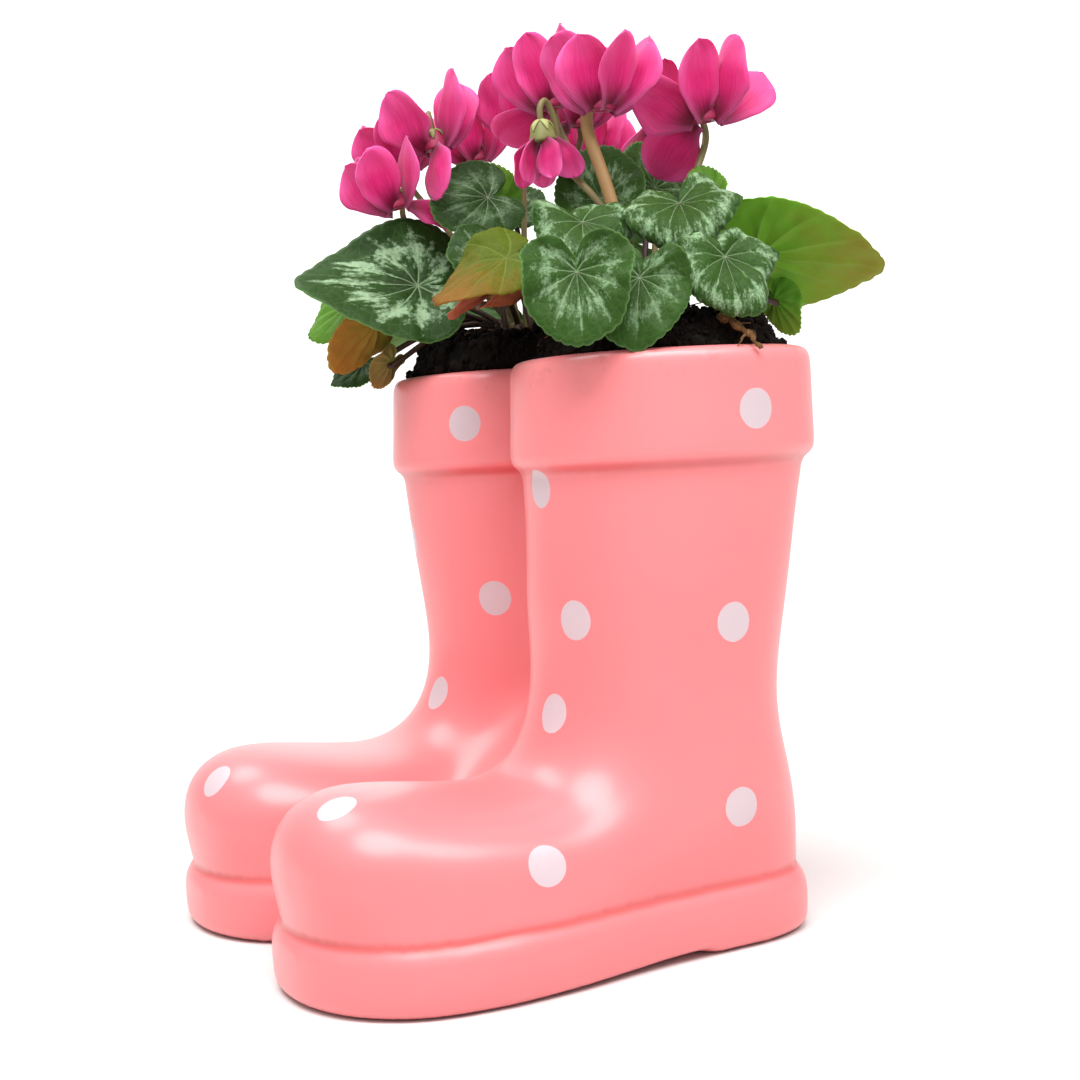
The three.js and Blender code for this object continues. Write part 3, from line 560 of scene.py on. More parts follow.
def fibres(side, count):
    """Pale plant fibres: thin bowed threads lying on the heap, one end often standing a little proud."""
    parts = []
    for _ in range(count):
        share, turn = np.sqrt(draw.uniform(0.05, 0.98)), draw.uniform(0, 2 * np.pi)
        middle = level_ring(WALL + 1.5, SOIL_EDGE, share, BEARINGS)[0][int(turn / (2 * np.pi) * BEARINGS)]
        length, heading = draw.uniform(5, 15), draw.uniform(0, 2 * np.pi)
        s = np.linspace(-0.5, 0.5, 7)
        bow = draw.uniform(-3, 3) * (0.25 - s**2)
        x = middle[0] + s * length * np.cos(heading) - bow * np.sin(heading)
        y = middle[1] + s * length * np.sin(heading) + bow * np.cos(heading)
        z = mound_height(share, turn, side) + 0.7 + draw.uniform(0, 1.6) * (s + 0.5) ** 2 + 3 * (0.25 - s**2)
        parts.append(tube(np.stack([x, y, z], -1), draw.uniform(0.12, 0.3), 4))
    return together(parts)


def peat(name, dark, light):
    """Moist peat: near black grains a millimetre or two across, matt, with no shine."""
    material, tree = new_material(name)
    place = own_place(tree)
    grain = noise(tree, place, 420.0, 6.0, 0.75)
    colour = mixed(tree, ranged(tree, grain, 0.38, 0.7), dark, light)
    cells = add(tree, "ShaderNodeTexVoronoi", {"Vector": place, "Scale": 900.0})["Distance"]
    bump = bumped(tree, 0.8, 0.0008, times(tree, cells, 0.6, grain))
    return finished(material, colour, 0.92, {"Normal": bump, "Specular IOR Level": 0.12})


damp_peat = peat("moist peat", "#060403", "#140D08")
loose_peat = peat("peat crumbs", "#080504", "#1C120B")
plant_fibre = peat("dry plant fibre", "#4A321D", "#876440")
# Root scrap that hangs over the outer side of the left boot's rim, from the soil's edge outwards
ROOT_PATH = [(37, 12, 213), (41, 13, 213), (45, 14, 210), (48.5, 15, 207.5), (51, 16, 205.5), (52.4, 17, 201.5)]


def root_scrap(path):
    """Gnarled root: a tube whose radius swells and thins by two sine waves as it tapers, with two side roots."""
    s = np.linspace(0, len(path) - 1, 34)
    line = spline(path, s)
    thick = (1.5 - 0.16 * s) * (1 + 0.25 * np.sin(4.1 * s) + 0.15 * np.sin(9.7 * s + 1))
    parts = [tube(line + 0.5 * np.stack([np.sin(3 * s), np.sin(5 * s + 2), np.sin(4 * s + 1)], -1), thick, 10)]
    for start, reach in ((14, (3, 5, -1.5)), (20, (1.5, -5, -2.5))):
        t = np.linspace(0, 1, 12)[:, None]
        twig = line[start] + np.array(reach) * t + np.array([0, 0, -2.0]) * t**2 + 0.4 * np.sin(9 * t + start)
        parts.append(tube(twig, 0.6 - 0.4 * t[:, 0], 6))
    return together(parts)


for plant, side in SIDES:
    body, lumps, threads = soil_body(side), crumbs(side, CRUMB_COUNT), fibres(side, FIBRE_COUNT)
    if plant == "left":
        threads = together([threads, root_scrap(ROOT_PATH)])
    points, faces = together([body, lumps, threads])
    which = [0] * len(body[1]) + [1] * len(lumps[1]) + [2] * len(threads[1])
    points[:, 0] += side * BOOT_APART
    soil = make_object(f"potting_soil_{plant}", points, faces, [damp_peat, loose_peat, plant_fibre], which)
    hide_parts(f"soil_{plant}")
    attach(soil, "root")

# Tubers: the flat round corm that each plant grows from, corky and scarred, half out of the soil under the leaves.
TUBER_Z = 209.0
TUBER_RADIUS = 19.0
TUBER_HALF_HEIGHT = 12.0
CROWN_Z = TUBER_Z + TUBER_HALF_HEIGHT
PLANT_Y = 7.0


def corm(side):
    """Flattened ball: radius 19 mm times the cosine and half height 12 mm times the sine of the latitude, dented by
    two ripples."""
    lat, turn = np.linspace(-1.45, 1.45, 30)[:, None], around(60)[None]
    ball = turned(turn, np.cos(lat), 0, np.sin(lat))
    shape = ball * [TUBER_RADIUS, TUBER_RADIUS, TUBER_HALF_HEIGHT]
    shape = shape + ball * (0.7 * ripple(shape, 9, 11) + 0.35 * ripple(shape, 3, 12))[..., None]
    return skin(shape + [side * BOOT_APART, PLANT_Y, TUBER_Z])


def cell_edges(tree, place, scale):
    """Distance to the nearest edge between scattered cells."""
    feeds = {"Vector": place, "Scale": scale}
    return add(tree, "ShaderNodeTexVoronoi", feeds, feature="DISTANCE_TO_EDGE")["Distance"]


def cork():
    """Corky tuber skin: grey brown, scaly patches about 4 mm across, dull."""
    material, tree = new_material("corky tuber skin")
    place = own_place(tree)
    colour = mixed(tree, noise(tree, place, 120.0, 5.0), "#4A3325", "#84664C")
    bump = bumped(tree, 0.6, 0.0006, cell_edges(tree, place, 250.0))
    return finished(material, colour, 0.85, {"Normal": bump})


corky = cork()
for plant, side in SIDES:
    tuber = make_object(f"corm_{plant}", *together([corm(side)]), [corky])
    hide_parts(f"tuber_{plant}")
    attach(tuber, "root")

# Leaves: heart-shaped blades, each grown in one piece with its petiole from the crown of the corm. Thick and
# leathery, toothed at the edge, veins sunk in the top and raised below, dark green frosted with silver between.
LEAF_SPOKES = 216
LEAF_RINGS = 16
LEAF_TEETH = 44
STEM_FOOT_Z = 212.0
PETIOLE_RADIUS = 1.3
# Ring on the crown that the petioles leave from, and the angle that each plant's first one leaves at
LEAF_RING = 13.0
LEAF_TURN = {"left": 0.6, "right": -0.5}
# Distance from the attaching point to the edge every 20 degrees round from the tip, as a share of the length
LEAF_EDGE = [1, 0.9, 0.78, 0.71, 0.675, 0.65, 0.62, 0.55, 0.42, 0.1]
# Attaching point, heading, pitch, roll, length, width, cup, droop, wave, phase, rolled rim; then how frosted the
# upper face is, set lower on some leaves to darken them as painted shade, height of the ruffled edge and colour of
# the underside
LEAVES = {
    "left": [
        (31, 2, 262, 149, 64, 1, 21.5, 1.2, 15, -2, 6, 0, 0, 0.8, 1, "green"),
        (41.5, -43, 239, 267, -26, -19, 31, 1.05, -2, -32, 17, 1, 0, 0.6, 1, "amber"),
        (57, -20.5, 249.5, 2, -37, 6, 25, 1.15, 16, -25, 22, 2, -60, 0.9, 2.6, "green"),
        (81.5, -37, 230, 336, -60, 6, 28, 1.1, 48, -10, 8, 0, -25, 0.7, 2.4, "green"),
        (84.5, -15, 227.5, 319, -60, -7, 28.5, 0.95, 25, -8, 14, 1, -30, 0.55, 2.8, "green"),
        (92, 14, 233.5, 345, -58, 0, 25.5, 1.05, 41, 26, 10, 0, -110, 1, 3, "green"),
        (66.5, 13, 255, 339, -31, 11, 27, 1.15, 30, -20, 8, 0, -80, 1, 3, "green"),
        (55, 31.5, 258, 159, 63, -15, 14, 1, 40, 10, 8, 0, 0, 0.4, 0.8, "bright"),
        (51.5, 54, 238, 59, -9, -36, 47, 0.95, -6, -8, 5, 0, 0, 0.3, 1, "ripening"),
        (48, 64, 223, 50, -62, -55, 15, 1, 17, -11, 10, 0, 0, 0.2, 0.8, "bright"),
        (24, 38, 240, 112, -10, 0, 34, 1.1, 14, -24, 8, 1, 0, 0.7, 1.2, "green"),
        (29.5, 25.5, 266.5, 162, 58, 22, 19.5, 1.25, 7, -4, 8, 0, 0, 0.5, 1, "green"),
        (9.5, 21, 253, 161, -2, 8, 24.5, 1.1, 11, -25, 14, 2, 0, 0.6, 1.2, "green"),
    ],
    "right": [
        (-98, 3.5, 244, 209, -1, 5, 38, 1.1, 15, -11, 8, 1, 0, 0.8, 1.2, "green"),
        (-86.5, -23.5, 229, 208, -22, 3, 34, 1.05, 14, -20, 6, 2, 0, 0.7, 1.2, "green"),
        (-90.5, -47, 211.5, 243, -30, -50, 16, 1, 0, -10, 10, 0, 0, 0.2, 0.8, "green"),
        (-79, -55, 234.5, 238, -26, -48, 22, 1.1, -3, -30, 6, 0, 0, 0.1, 0.8, "bright"),
        (-67, -44, 211, 260, -50, 46, 13, 1, 0, -12, 12, 0, 0, 0.1, 0.6, "fading"),
        (-61, -51.5, 226.5, 256, -44, 43, 27, 0.9, 0, -10, 3, 0, 0, 0.2, 1, "ochre"),
        (-47, -39, 239, 255, 3, -55, 48.5, 0.9, 7, -12, 17, 0, 0, 1.3, 1.3, "green"),
        (-38.5, -10.5, 272.5, 267, -18, -59, 25, 1.1, -3, -6, -4, 0, 0, 0.4, 1.2, "green"),
        (-7.5, -27, 243.5, 161, 52, -3, 24, 0.95, 14, -25, 9, 0, 0, 0.4, 1.6, "green"),
        (-52.5, -1.5, 270.5, 321, 42, 5, 19.5, 1.1, 54, 39, 14, 0, 0, 0.3, 1, "bright"),
        (6, -15.5, 235, 252, -25, 11, 23.5, 0.9, -24, -9, -1, 0, 0, 0.2, 1, "russet"),
        (13.5, -10.5, 244.5, 253, -34, 3, 45.5, 1, -12, 2, 4, 0, 0, 0.4, 2, "russet"),
        (-30, 36, 244, 75, -6, 0, 28, 1.1, 14, -20, 8, 1, 0, 0.7, 1.2, "green"),
        (-68, 38, 236, 105, -14, 0, 38, 1.1, 14, -22, 8, 0, 0, 0.8, 1.2, "green"),
        (-90, 28.5, 228, 142, -19, 6, 36, 1.1, 2, -18, -11, 2, 0, 0.7, 1.2, "green"),
        (-70.5, 17, 270.5, 147, 50, -1, 19.5, 1.1, 10, -4, 12, 0, 0, 0.5, 1, "green"),
    ],
}


def leaf_axes(heading, pitch, roll):
    """Along the midrib, across the blade and out of its upper face, from heading, pitch and roll in degrees."""
    h, p, r = np.radians([heading, pitch, roll])
    u = np.array([np.cos(h) * np.cos(p), np.sin(h) * np.cos(p), np.sin(p)])
    level = np.array([-np.sin(h), np.cos(h), 0])
    v = level * np.cos(r) + np.cross(u, level) * np.sin(r)
    return u, v, np.cross(u, v)


def stem_foot(side, i, count, ring, first):
    """Where a stem leaves the crown: evenly round the ring from the angle first, in the order of the rows."""
    turn = 2 * np.pi * i / count - np.pi + first
    return side * BOOT_APART + ring * np.cos(turn), PLANT_Y + ring * np.sin(turn)


def facings(grid):
    """Unit normals of a grid of points, from the cross product of its two directions."""
    return unit(np.cross(np.gradient(grid, axis=1), np.gradient(grid, axis=0)))


def vein_gap(turn, reach):
    """Distance to the nearest main vein, as a share of the leaf's length. The veins leave the attaching point at
    about 0, 28, 60, 100 and 145 degrees and bend towards the tip as they run out."""
    away = np.degrees(np.abs(turn)) * (1 + 0.3 * reach)
    number = away / (26.5 + 0.07 * away)
    return np.abs(number - np.round(number)) * 0.5 * reach


def blade(row, seed):
    """Spokes round the attaching point. Each runs out by the edge's length with slope 6 + bend * q + rim * q^3
    degrees, where bend mixes droop ahead, cup at the sides and a threefold wave; the edge carries small teeth.
    The two faces lie either side, with veins sunk above, raised below, the blade quilted between them, and its
    edge ruffled by sin(5 turn) share^3."""
    x, y, z, heading, pitch, roll, length, width, cup, droop, wave, phase, rim, _, ruffle, _ = row
    u, v, n = leaf_axes(heading, pitch, roll)
    turn = np.linspace(-0.985 * np.pi, 0.985 * np.pi, LEAF_SPOKES + 1)[:, None]
    teeth = 1 + 0.6 / length * (np.abs(np.sin(LEAF_TEETH * turn / 2)) - 0.6) * np.clip(np.cos(turn / 2) * 4, 0, 1)
    reach = length * spline(LEAF_EDGE, np.degrees(np.abs(turn)) / 20) * (1 + (width - 1) * np.abs(np.sin(turn)))
    ahead = np.maximum(np.cos(turn), 0) ** 2
    bend = droop * ahead + cup * (1 - ahead) + wave * np.sin(3 * turn + phase)
    q = (np.arange(2 * LEAF_RINGS) + 0.5) / (2 * LEAF_RINGS)
    slope = np.radians(6 + bend * q + rim * q**3)
    step = reach / (2 * LEAF_RINGS) * (1 + (teeth - 1) * 6 * (q > 0.82))
    out, up = (np.cumsum(step * f(slope), 1)[:, 1::2] for f in (np.cos, np.sin))
    out, up = (np.hstack([np.zeros((LEAF_SPOKES + 1, 1)), w]) for w in (out, up))
    middle = np.array([x, y, z]) + (out * np.cos(turn))[..., None] * u + (out * np.sin(turn))[..., None] * v
    middle = middle + up[..., None] * n
    share = np.linspace(0, 1, LEAF_RINGS + 1)[None]
    flat = np.stack([share * reach / length * np.cos(turn), share * reach / length * np.sin(turn)], -1)
    far = np.hypot(flat[..., 0], flat[..., 1])
    normal = facings(middle)
    normal[:, 0] = n
    gap = vein_gap(turn, far)
    groove = np.exp(-((gap * length / 0.7) ** 2)) * np.clip(1.1 - share, 0, 1) * np.clip(share * 5, 0, 1)
    quilt = np.minimum(gap * length, 3) / 3 * np.clip(1 - share**4, 0, 1)
    sway = 0.9 * ripple(middle, 15, seed) * share + 0.35 * ripple(middle, 6, seed + 1) * np.clip(share * 3, 0, 1)
    wavy = ruffle * share**3 * np.sin(5 * turn + seed) * (0.7 + 0.3 * np.sin(9 * turn + 2 * seed))
    relief = 0.75 * quilt - 0.15 * groove + sway + wavy
    half = 0.32 - 0.14 * share**3
    top = middle + normal * (half + relief)[..., None]
    under = middle + normal * (relief - half - 0.25 * groove)[..., None]
    return top, under, grid_of(flat[..., 0], flat[..., 1], share)


def sheet_skin(top, under, pole):
    """Closed skin of a thin sheet from its two faces: quads over each, a strip round the edge, and where pole is
    true the first column is one shared point on each face."""
    rows, columns, _ = top.shape
    index = np.arange(rows * columns).reshape(rows, columns)
    start = 1 if pole else 0
    a, b, c, d = index[:-1, start:-1], index[1:, start:-1], index[1:, start + 1:], index[:-1, start + 1:]
    upper = np.stack([a, b, c, d], -1).reshape(-1, 4)
    count = rows * columns
    lists = [upper, upper[:, ::-1] + count]
    if pole:
        hub = np.full(rows - 1, index[0, 0])
        fan = np.stack([hub, index[1:, 1], index[:-1, 1]], -1)
        lists += [fan, fan[:, ::-1] + count]
        edge = np.concatenate([[index[0, 0]], index[0, 1:-1], index[:, -1], index[-1, -2:0:-1]])
    else:
        edge = np.concatenate([index[0, :-1], index[:-1, -1], index[-1, :0:-1], index[:0:-1, 0]])
    after = np.roll(edge, -1)
    lists.append(np.stack([edge, after, after + count, edge + count], -1))
    return np.concatenate([top.reshape(-1, 3), under.reshape(-1, 3)]), lists


def petiole(row, foot):
    """Stem path: straight up out of the crown, over half way to the blade, and into its underside, as one smooth
    curve; the radius narrows by 15 percent."""
    x, y, z, heading, pitch, roll, length = row[:7]
    u, _, n = leaf_axes(heading, pitch, roll)
    tip = np.array([x, y, z]) + 1.6 * u
    under = tip - 0.2 * length * n - 0.14 * length * u
    base, out, neck = (np.array([*foot, h]) for h in (STEM_FOOT_Z, CROWN_Z - 1, CROWN_Z + 4))
    half = (neck + under) / 2 + [0, 0, 0.1 * np.linalg.norm(under - neck)]
    s = np.linspace(0, 5, 41)
    path = spline([base, out, neck, half, under, tip], s)
    return tube(path, PETIOLE_RADIUS * (1 - 0.15 * s / 5), 10)


def packed(tree, x, y, z=0.0):
    return add(tree, "ShaderNodeCombineXYZ", {"X": x, "Y": y, "Z": z})["Vector"]


def main_veins(tree, along, across, stray=None):
    """The veins of vein_gap in nodes: the distance out, the vein's number, which stray noise moves by up to 0.08,
    and the gap to the nearest vein."""
    far = add(tree, "ShaderNodeVectorMath", {0: packed(tree, along, across)}, operation="LENGTH")["Value"]
    size = maths(tree, "ABSOLUTE", maths(tree, "ARCTAN2", across, along))
    away = times(tree, size, times(tree, far, 17.2, 57.3))
    number = maths(tree, "DIVIDE", away, times(tree, away, 0.07, 26.5))
    if stray is not None:
        number = maths(tree, "SUBTRACT", times(tree, stray, 0.16, number), 0.08)
    return far, number, times(tree, maths(tree, "PINGPONG", number, 0.5), far)


def frosted_green():
    """Leathery cyclamen leaf, upper face: deep green, silver green frosting in a jagged band, pale veins with a fine
    net between them, and a thin light edge. Slightly waxy, so a satin shine."""
    material, tree = new_material("frosted leaf, upper face")
    frost, seed, young = split(tree, field(tree, "look"))
    along, across, share = split(tree, field(tree, "place"))
    flat = packed(tree, along, across, seed)
    coarse, fine = noise(tree, flat, 9.0, 4.0, 0.62), noise(tree, flat, 34.0, 3.0, 0.6)
    far, number, gap = main_veins(tree, along, across, coarse)
    vein = ranged(tree, gap, 0.014, 0.002, 0.0, 0.45, smooth=True)
    vein = times(tree, vein, ranged(tree, share, 0.95, 0.35))
    net = cell_edges(tree, flat, 11.0)
    # Frosting: streaks that run out beside the veins, densest a little over half way out, or near the margin where
    # that is rolled, and torn by the noise
    lopsided = times(tree, across, 3.0, seed)
    streak = noise(tree, packed(tree, number, far, lopsided), 4.5, 5.0, 0.65)
    off_band = apart(tree, share, field(tree, "band", "Fac"))
    torn = ranged(tree, gap, 0.12, 0.0, 0.0, 0.3)
    for part, weight in ((off_band, -1.5), (streak, 1.5), (coarse, 0.5), (fine, 0.4)):
        torn = times(tree, part, weight, torn)
    silver = times(tree, ranged(tree, torn, 1.02, 1.4), ranged(tree, fine, 0.3, 0.6, 0.6))
    # The leaf's frost share scales the silver; set lower on some leaves, it darkens them as painted shade
    silver = maths(tree, "MULTIPLY", silver, frost, clamp=True)
    centre, margin = ranged(tree, share, 0.4, 0.1, 0.0, 0.7), ranged(tree, share, 0.965, 0.995, 0.0, 0.5)
    colour = coated(tree, mixed(tree, coarse, "#12260A", "#27431A"), (centre, "#081507"),
                    (silver, mixed(tree, fine, "#6C8A68", "#9BB392")),
                    (ranged(tree, net, 0.05, 0.0, 0.0, 0.1), "#6E9A66"), (vein, "#93AA84"), (margin, "#5C7C4C"),
                    (young, "#5D8A2C"))
    bump = bumped(tree, 0.5, 0.0006, times(tree, vein, -0.2, net))
    shine = ranged(tree, coarse, 0.0, 1.0, 0.4, 0.58)
    return finished(material, colour, shine,
                    {"Normal": bump, "Specular IOR Level": 0.1, **glow(0.08, (0.4, 1.0, 0.1))})


def leaf_underside(name, near, far):
    """Lower face of a leaf: paler and duller, raised veins lighter than the tissue, its colour turning from the
    stem to the tip as the leaf ages."""
    material, tree = new_material(name)
    along, across, _ = split(tree, field(tree, "place"))
    flat = packed(tree, along, across, split(tree, field(tree, "look"))["Y"])
    cloud = noise(tree, flat, 5.0, 4.0)
    turned = ranged(tree, times(tree, cloud, 0.9, along), 0.55, 1.35)
    vein = ranged(tree, main_veins(tree, along, across)[2], 0.02, 0.003, 0.0, 0.16)
    lines = maths(tree, "MAXIMUM", vein, ranged(tree, cell_edges(tree, flat, 12.0), 0.06, 0.0, 0.0, 0.08))
    colour = mixed(tree, lines, mixed(tree, turned, near, far), "#98A85A")
    bump = bumped(tree, 0.3, 0.0005, times(tree, lines, 1.5, cloud))
    return finished(material, colour, 0.6,
                    {"Normal": bump, "Specular IOR Level": 0.08, **glow(0.15, (0.6, 1.0, 0.1))})


def flower_stem(name, low, high):
    """Skin of stalks, petioles, cups and sepals: mottled between two tints, finely downy, faintly ribbed along its
    length, and a little light passes through."""
    material, tree = new_material(name)
    place = own_place(tree)
    colour = mixed(tree, noise(tree, place, 60.0, 4.0), low, high)
    long_place = add(tree, "ShaderNodeMapping", {"Vector": place, "Scale": (1.0, 1.0, 0.08)})["Vector"]
    bump = bumped(tree, 0.3, 0.0003, noise(tree, long_place, 1500.0))
    return finished(material, colour, 0.55, {"Normal": bump, **glow(0.1, (1.0, 0.5, 0.3))})


upper_face = frosted_green()
undersides = {
    "green": leaf_underside("leaf underside, green", "#52803C", "#66904A"),
    "bright": leaf_underside("leaf underside, fresh green", "#558F28", "#77A83A"),
    "ripening": leaf_underside("leaf underside, ripening", "#659F2A", "#7D812A"),
    "amber": leaf_underside("turning leaf, amber", "#47540C", "#744C16"),
    "ochre": leaf_underside("turning leaf, ochre", "#8A762E", "#A07A34"),
    "russet": leaf_underside("turning leaf, russet", "#6E4022", "#9A5E44"),
    "fading": leaf_underside("turning leaf, fading", "#827C44", "#92824E"),
}
# Leaves that turn colour as they age do so on both faces
TURNING = ("amber", "ochre", "russet", "fading")
# Where the frosting is densest, as a share of the way out, on flat leaves and on those with a rolled rim
FLAT_BAND, ROLLED_BAND = 0.56, 0.8
# Petioles: reddish brown, made darker as painted shade for the shade among the leaves
stem_skin = flower_stem("reddish brown stem", "#2C1B13", "#4A3122")
for plant, side in SIDES:
    rows = LEAVES[plant]
    for i, row in enumerate(rows):
        rim, frost, tint = row[12], row[13], row[15]
        seed = 40 + 2 * i + (100 if side < 0 else 0)
        top, under, place = blade(row, seed)
        stem = petiole(row, stem_foot(side, i, len(rows), LEAF_RING, LEAF_TURN[plant]))
        points, faces = together([sheet_skin(top, under, True), stem])
        # How much fresh green lies over the upper face
        fresh = 0.75 if tint == "bright" else 0.12 if side > 0 else 0.05
        fields = {"place": np.concatenate([place.reshape(-1, 3)] * 2 + [np.zeros_like(stem[0])]),
                  "look": np.tile([frost, seed * 1.7, fresh], (len(points), 1)),
                  "band": np.full(len(points), ROLLED_BAND if rim < -40 else FLAT_BAND)}
        face = undersides[tint] if tint in TURNING else upper_face
        leaf = make_object(f"heart_leaf_{plant}_{i + 1:02d}", points, faces, [face, undersides[tint], stem_skin],
                           [0, 1, 0, 1, 1] + [2] * len(stem[1]), fields)
        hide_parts(f"leaf_{plant}_{i + 1:02d}")
        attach(leaf, "root")

# Blooms: five magenta petals swept up from the rim of a short crimson cup that opens downwards, grown as one
# piece, with a small green calyx of five sepals on top of the cup where the stalk joins.
PETAL_ROWS = 24
PETAL_COLUMNS = 12
# Bearings of the petals from the stalk, and how far each is turned about its own middle, in degrees
PETAL_FIRST = 60.0
PETAL_STEP = 57.0
PETAL_TWIST = 46.0
# Radius on the cup's rim where a petal starts, and its width there as a share of its full one
PETAL_FOOT = 3.7
PETAL_WAIST = 0.34
# The nose of the flower, from its top down the outside and up again inside the mouth: radius and height
NOSE_PROFILE = np.array([[0.3, 7.0], [2.2, 6.7], [3.1, 5.8], [4.2, 3.4], [4.9, 0.8], [4.9, -0.2], [4.4, -0.6],
                         [3.2, -0.7], [2.2, -0.6], [1.9, 1.2], [1.6, 3.6], [0.2, 4.4]])
# Petals that are turned more or less than the rest, in degrees, by their number in each flower
OWN_TWIST = {"left": [{3: 24}, {2: -20}, {2: 24}, {3: 24}, {3: 24}],
             "right": [{3: 24}, {0: 22, 3: 26}, {3: 24}, {3: 24}, {0: 22, 3: 26}, {3: 24}, {3: 24}]}
# Mouth, tilt, tilt heading, bearing of the stalk, petal length and width, stalk radius, rise of each petal
BLOOMS = {
    "left": [
        (15.5, -8, 297.5, 9, 243, 260, 29, 19, 1.2, (-12, 74, 74, 74, 74)),
        (46.5, -5, 291, 4, 63, 125, 29, 21, 2.3, (66, 66, 66, 66, 66)),
        (24.5, -17, 283.5, 5, 243, 225, 20, 12, 1.3, (-72, -72, -72, -72, -72)),
        (51, 35, 287.5, 4, 243, 270, 30, 22, 1.3, (-45, 29, 72, 66, 36)),
        (4, 46, 294, 3, 63, 90, 27, 18, 1.2, (72, -50, 72, 72, -62)),
    ],
    "right": [
        (-78.5, -27.5, 289.5, 14, 243, 270, 26, 18, 1.2, (66, 66, 66, 66, 66)),
        (-54.5, -42, 271, 14, 243, 260, 27, 20, 1.2, (62, 64, 62, 62, -34)),
        (-47, -27.5, 293, 10, 243, 270, 30, 20, 1.2, (68, 68, -62, 68, 68)),
        (-38, 6, 298, 1, 243, 270, 28, 18, 1.2, (72, 72, 72, 72, 72)),
        (-10.5, 16.5, 296.5, 4, 63, 85, 30, 19, 1.2, (72, -62, 72, 72, 72)),
        (-46.5, 41, 289, 8, 63, 90, 25, 17, 1.2, (70, 70, 70, 70, 70)),
        (-84, 7, 295, 8, 243, 270, 25, 17, 1.2, (70, 70, 70, 70, 70)),
    ],
}


def smooth_step(t):
    c = np.clip(t, 0, 1)
    return c * c * (3 - 2 * c)


def petal(turn, length, width, rise, twist, seed):
    """Sheet that leaves the cup's rim and sweeps up: its slope goes from 0.6 rise to rise + 10 degrees in the
    first third and falls back 22 t^2; it widens to 0.45 of its length and runs out to a blunt point, is cupped by
    0.18 of its half width and turned about 46 degrees about its middle, like the sails of a windmill. It is crinkled
    along its length, its margin ruffles and its tip leans to one side."""
    t = np.linspace(0, 1, PETAL_ROWS + 1)
    mid = (t[1:] + t[:-1]) / 2
    base = rise * 0.6
    slope = np.radians(base + (rise + 10 - base) * smooth_step(mid / 0.32) - 22 * mid**2)
    r, z = (np.concatenate([[0], np.cumsum(f(slope))]) * length / PETAL_ROWS for f in (np.cos, np.sin))
    lean = np.concatenate([[np.radians(base)], slope])[:, None]
    point = np.maximum(0.004, 1 - np.maximum(0, (t - 0.52) / 0.48) ** 2.4) ** 0.52
    half = (width / 2 * (PETAL_WAIST + (1 - PETAL_WAIST) * smooth_step(t / 0.45)) * point)[:, None]
    w = np.linspace(-1, 1, PETAL_COLUMNS + 1)[None]
    twist, turn = np.radians([PETAL_TWIST + twist, turn])
    t = t[:, None]
    ruffle = 0.07 * width * np.sin(6 * t + seed + 2.2 * w) * np.abs(w) ** 2 * smooth_step(t * 2)
    crinkle = 0.35 * np.sin(5.5 * w + 1.5 * np.sin(3 * t + seed) + seed) * smooth_step(t * 1.6) * (1 - w**2)
    crinkle = crinkle + 0.3 * np.sin(9 * t + 3 * w + 2 * seed) * smooth_step(t * 2)
    away = half * w * np.sin(twist) - 0.18 * half * w**2 + ruffle + crinkle
    across = half * w * np.cos(twist) + 0.07 * width * np.sin(seed * 1.7) * t**3
    rr, zz = PETAL_FOOT + r[:, None] - away * np.sin(lean), z[:, None] + away * np.cos(lean)
    sheet = turned(turn, rr, across, zz)
    thick = facings(sheet) * (0.3 - 0.14 * t - 0.06 * np.abs(w))[..., None]
    return sheet + thick, sheet - thick, grid_of(t, w, seed)


def cup():
    """Nose of the flower: its profile turned round the axis, drawn out a little at five lobes on the mouth."""
    radius, z = sampled(NOSE_PROFILE, 34).T[:, :, None]
    turn = around(40)[None]
    lobes = 1 + 0.05 * np.cos(5 * turn) * np.clip(1 - np.abs(z) / 3, 0, 1)
    return skin(turned(turn, radius * lobes, 0, z))


def sepal(turn):
    """Small pointed scale lying down the outside of the cup from the stalk."""
    t, w = np.linspace(0, 1, 7)[:, None], np.linspace(-1, 1, 5)[None]
    half = 1.5 * np.sqrt(np.maximum(1 - t**1.6, 0.01)) * (0.75 + 0.5 * t * (1 - t) * 2)
    r, z = 1.2 + 3.3 * np.sin(1.4 * t), 7.5 - 0.6 * t - 3.4 * t**2
    sheet = turned(np.radians(turn), r, half * w, z - 0.5 * w**2)
    normal = facings(sheet)
    return sheet + normal * 0.2, sheet - normal * 0.2


def bloom_axes(tilt, heading):
    """Rows are the two directions across the mouth and the one up through the cup."""
    t, h = np.radians([tilt, heading])
    up = np.array([np.cos(h) * np.sin(t), np.sin(h) * np.sin(t), np.cos(t)])
    ex = np.array([np.cos(h) * np.cos(t), np.sin(h) * np.cos(t), -np.sin(t)])
    return np.array([ex, np.cross(up, ex), up])


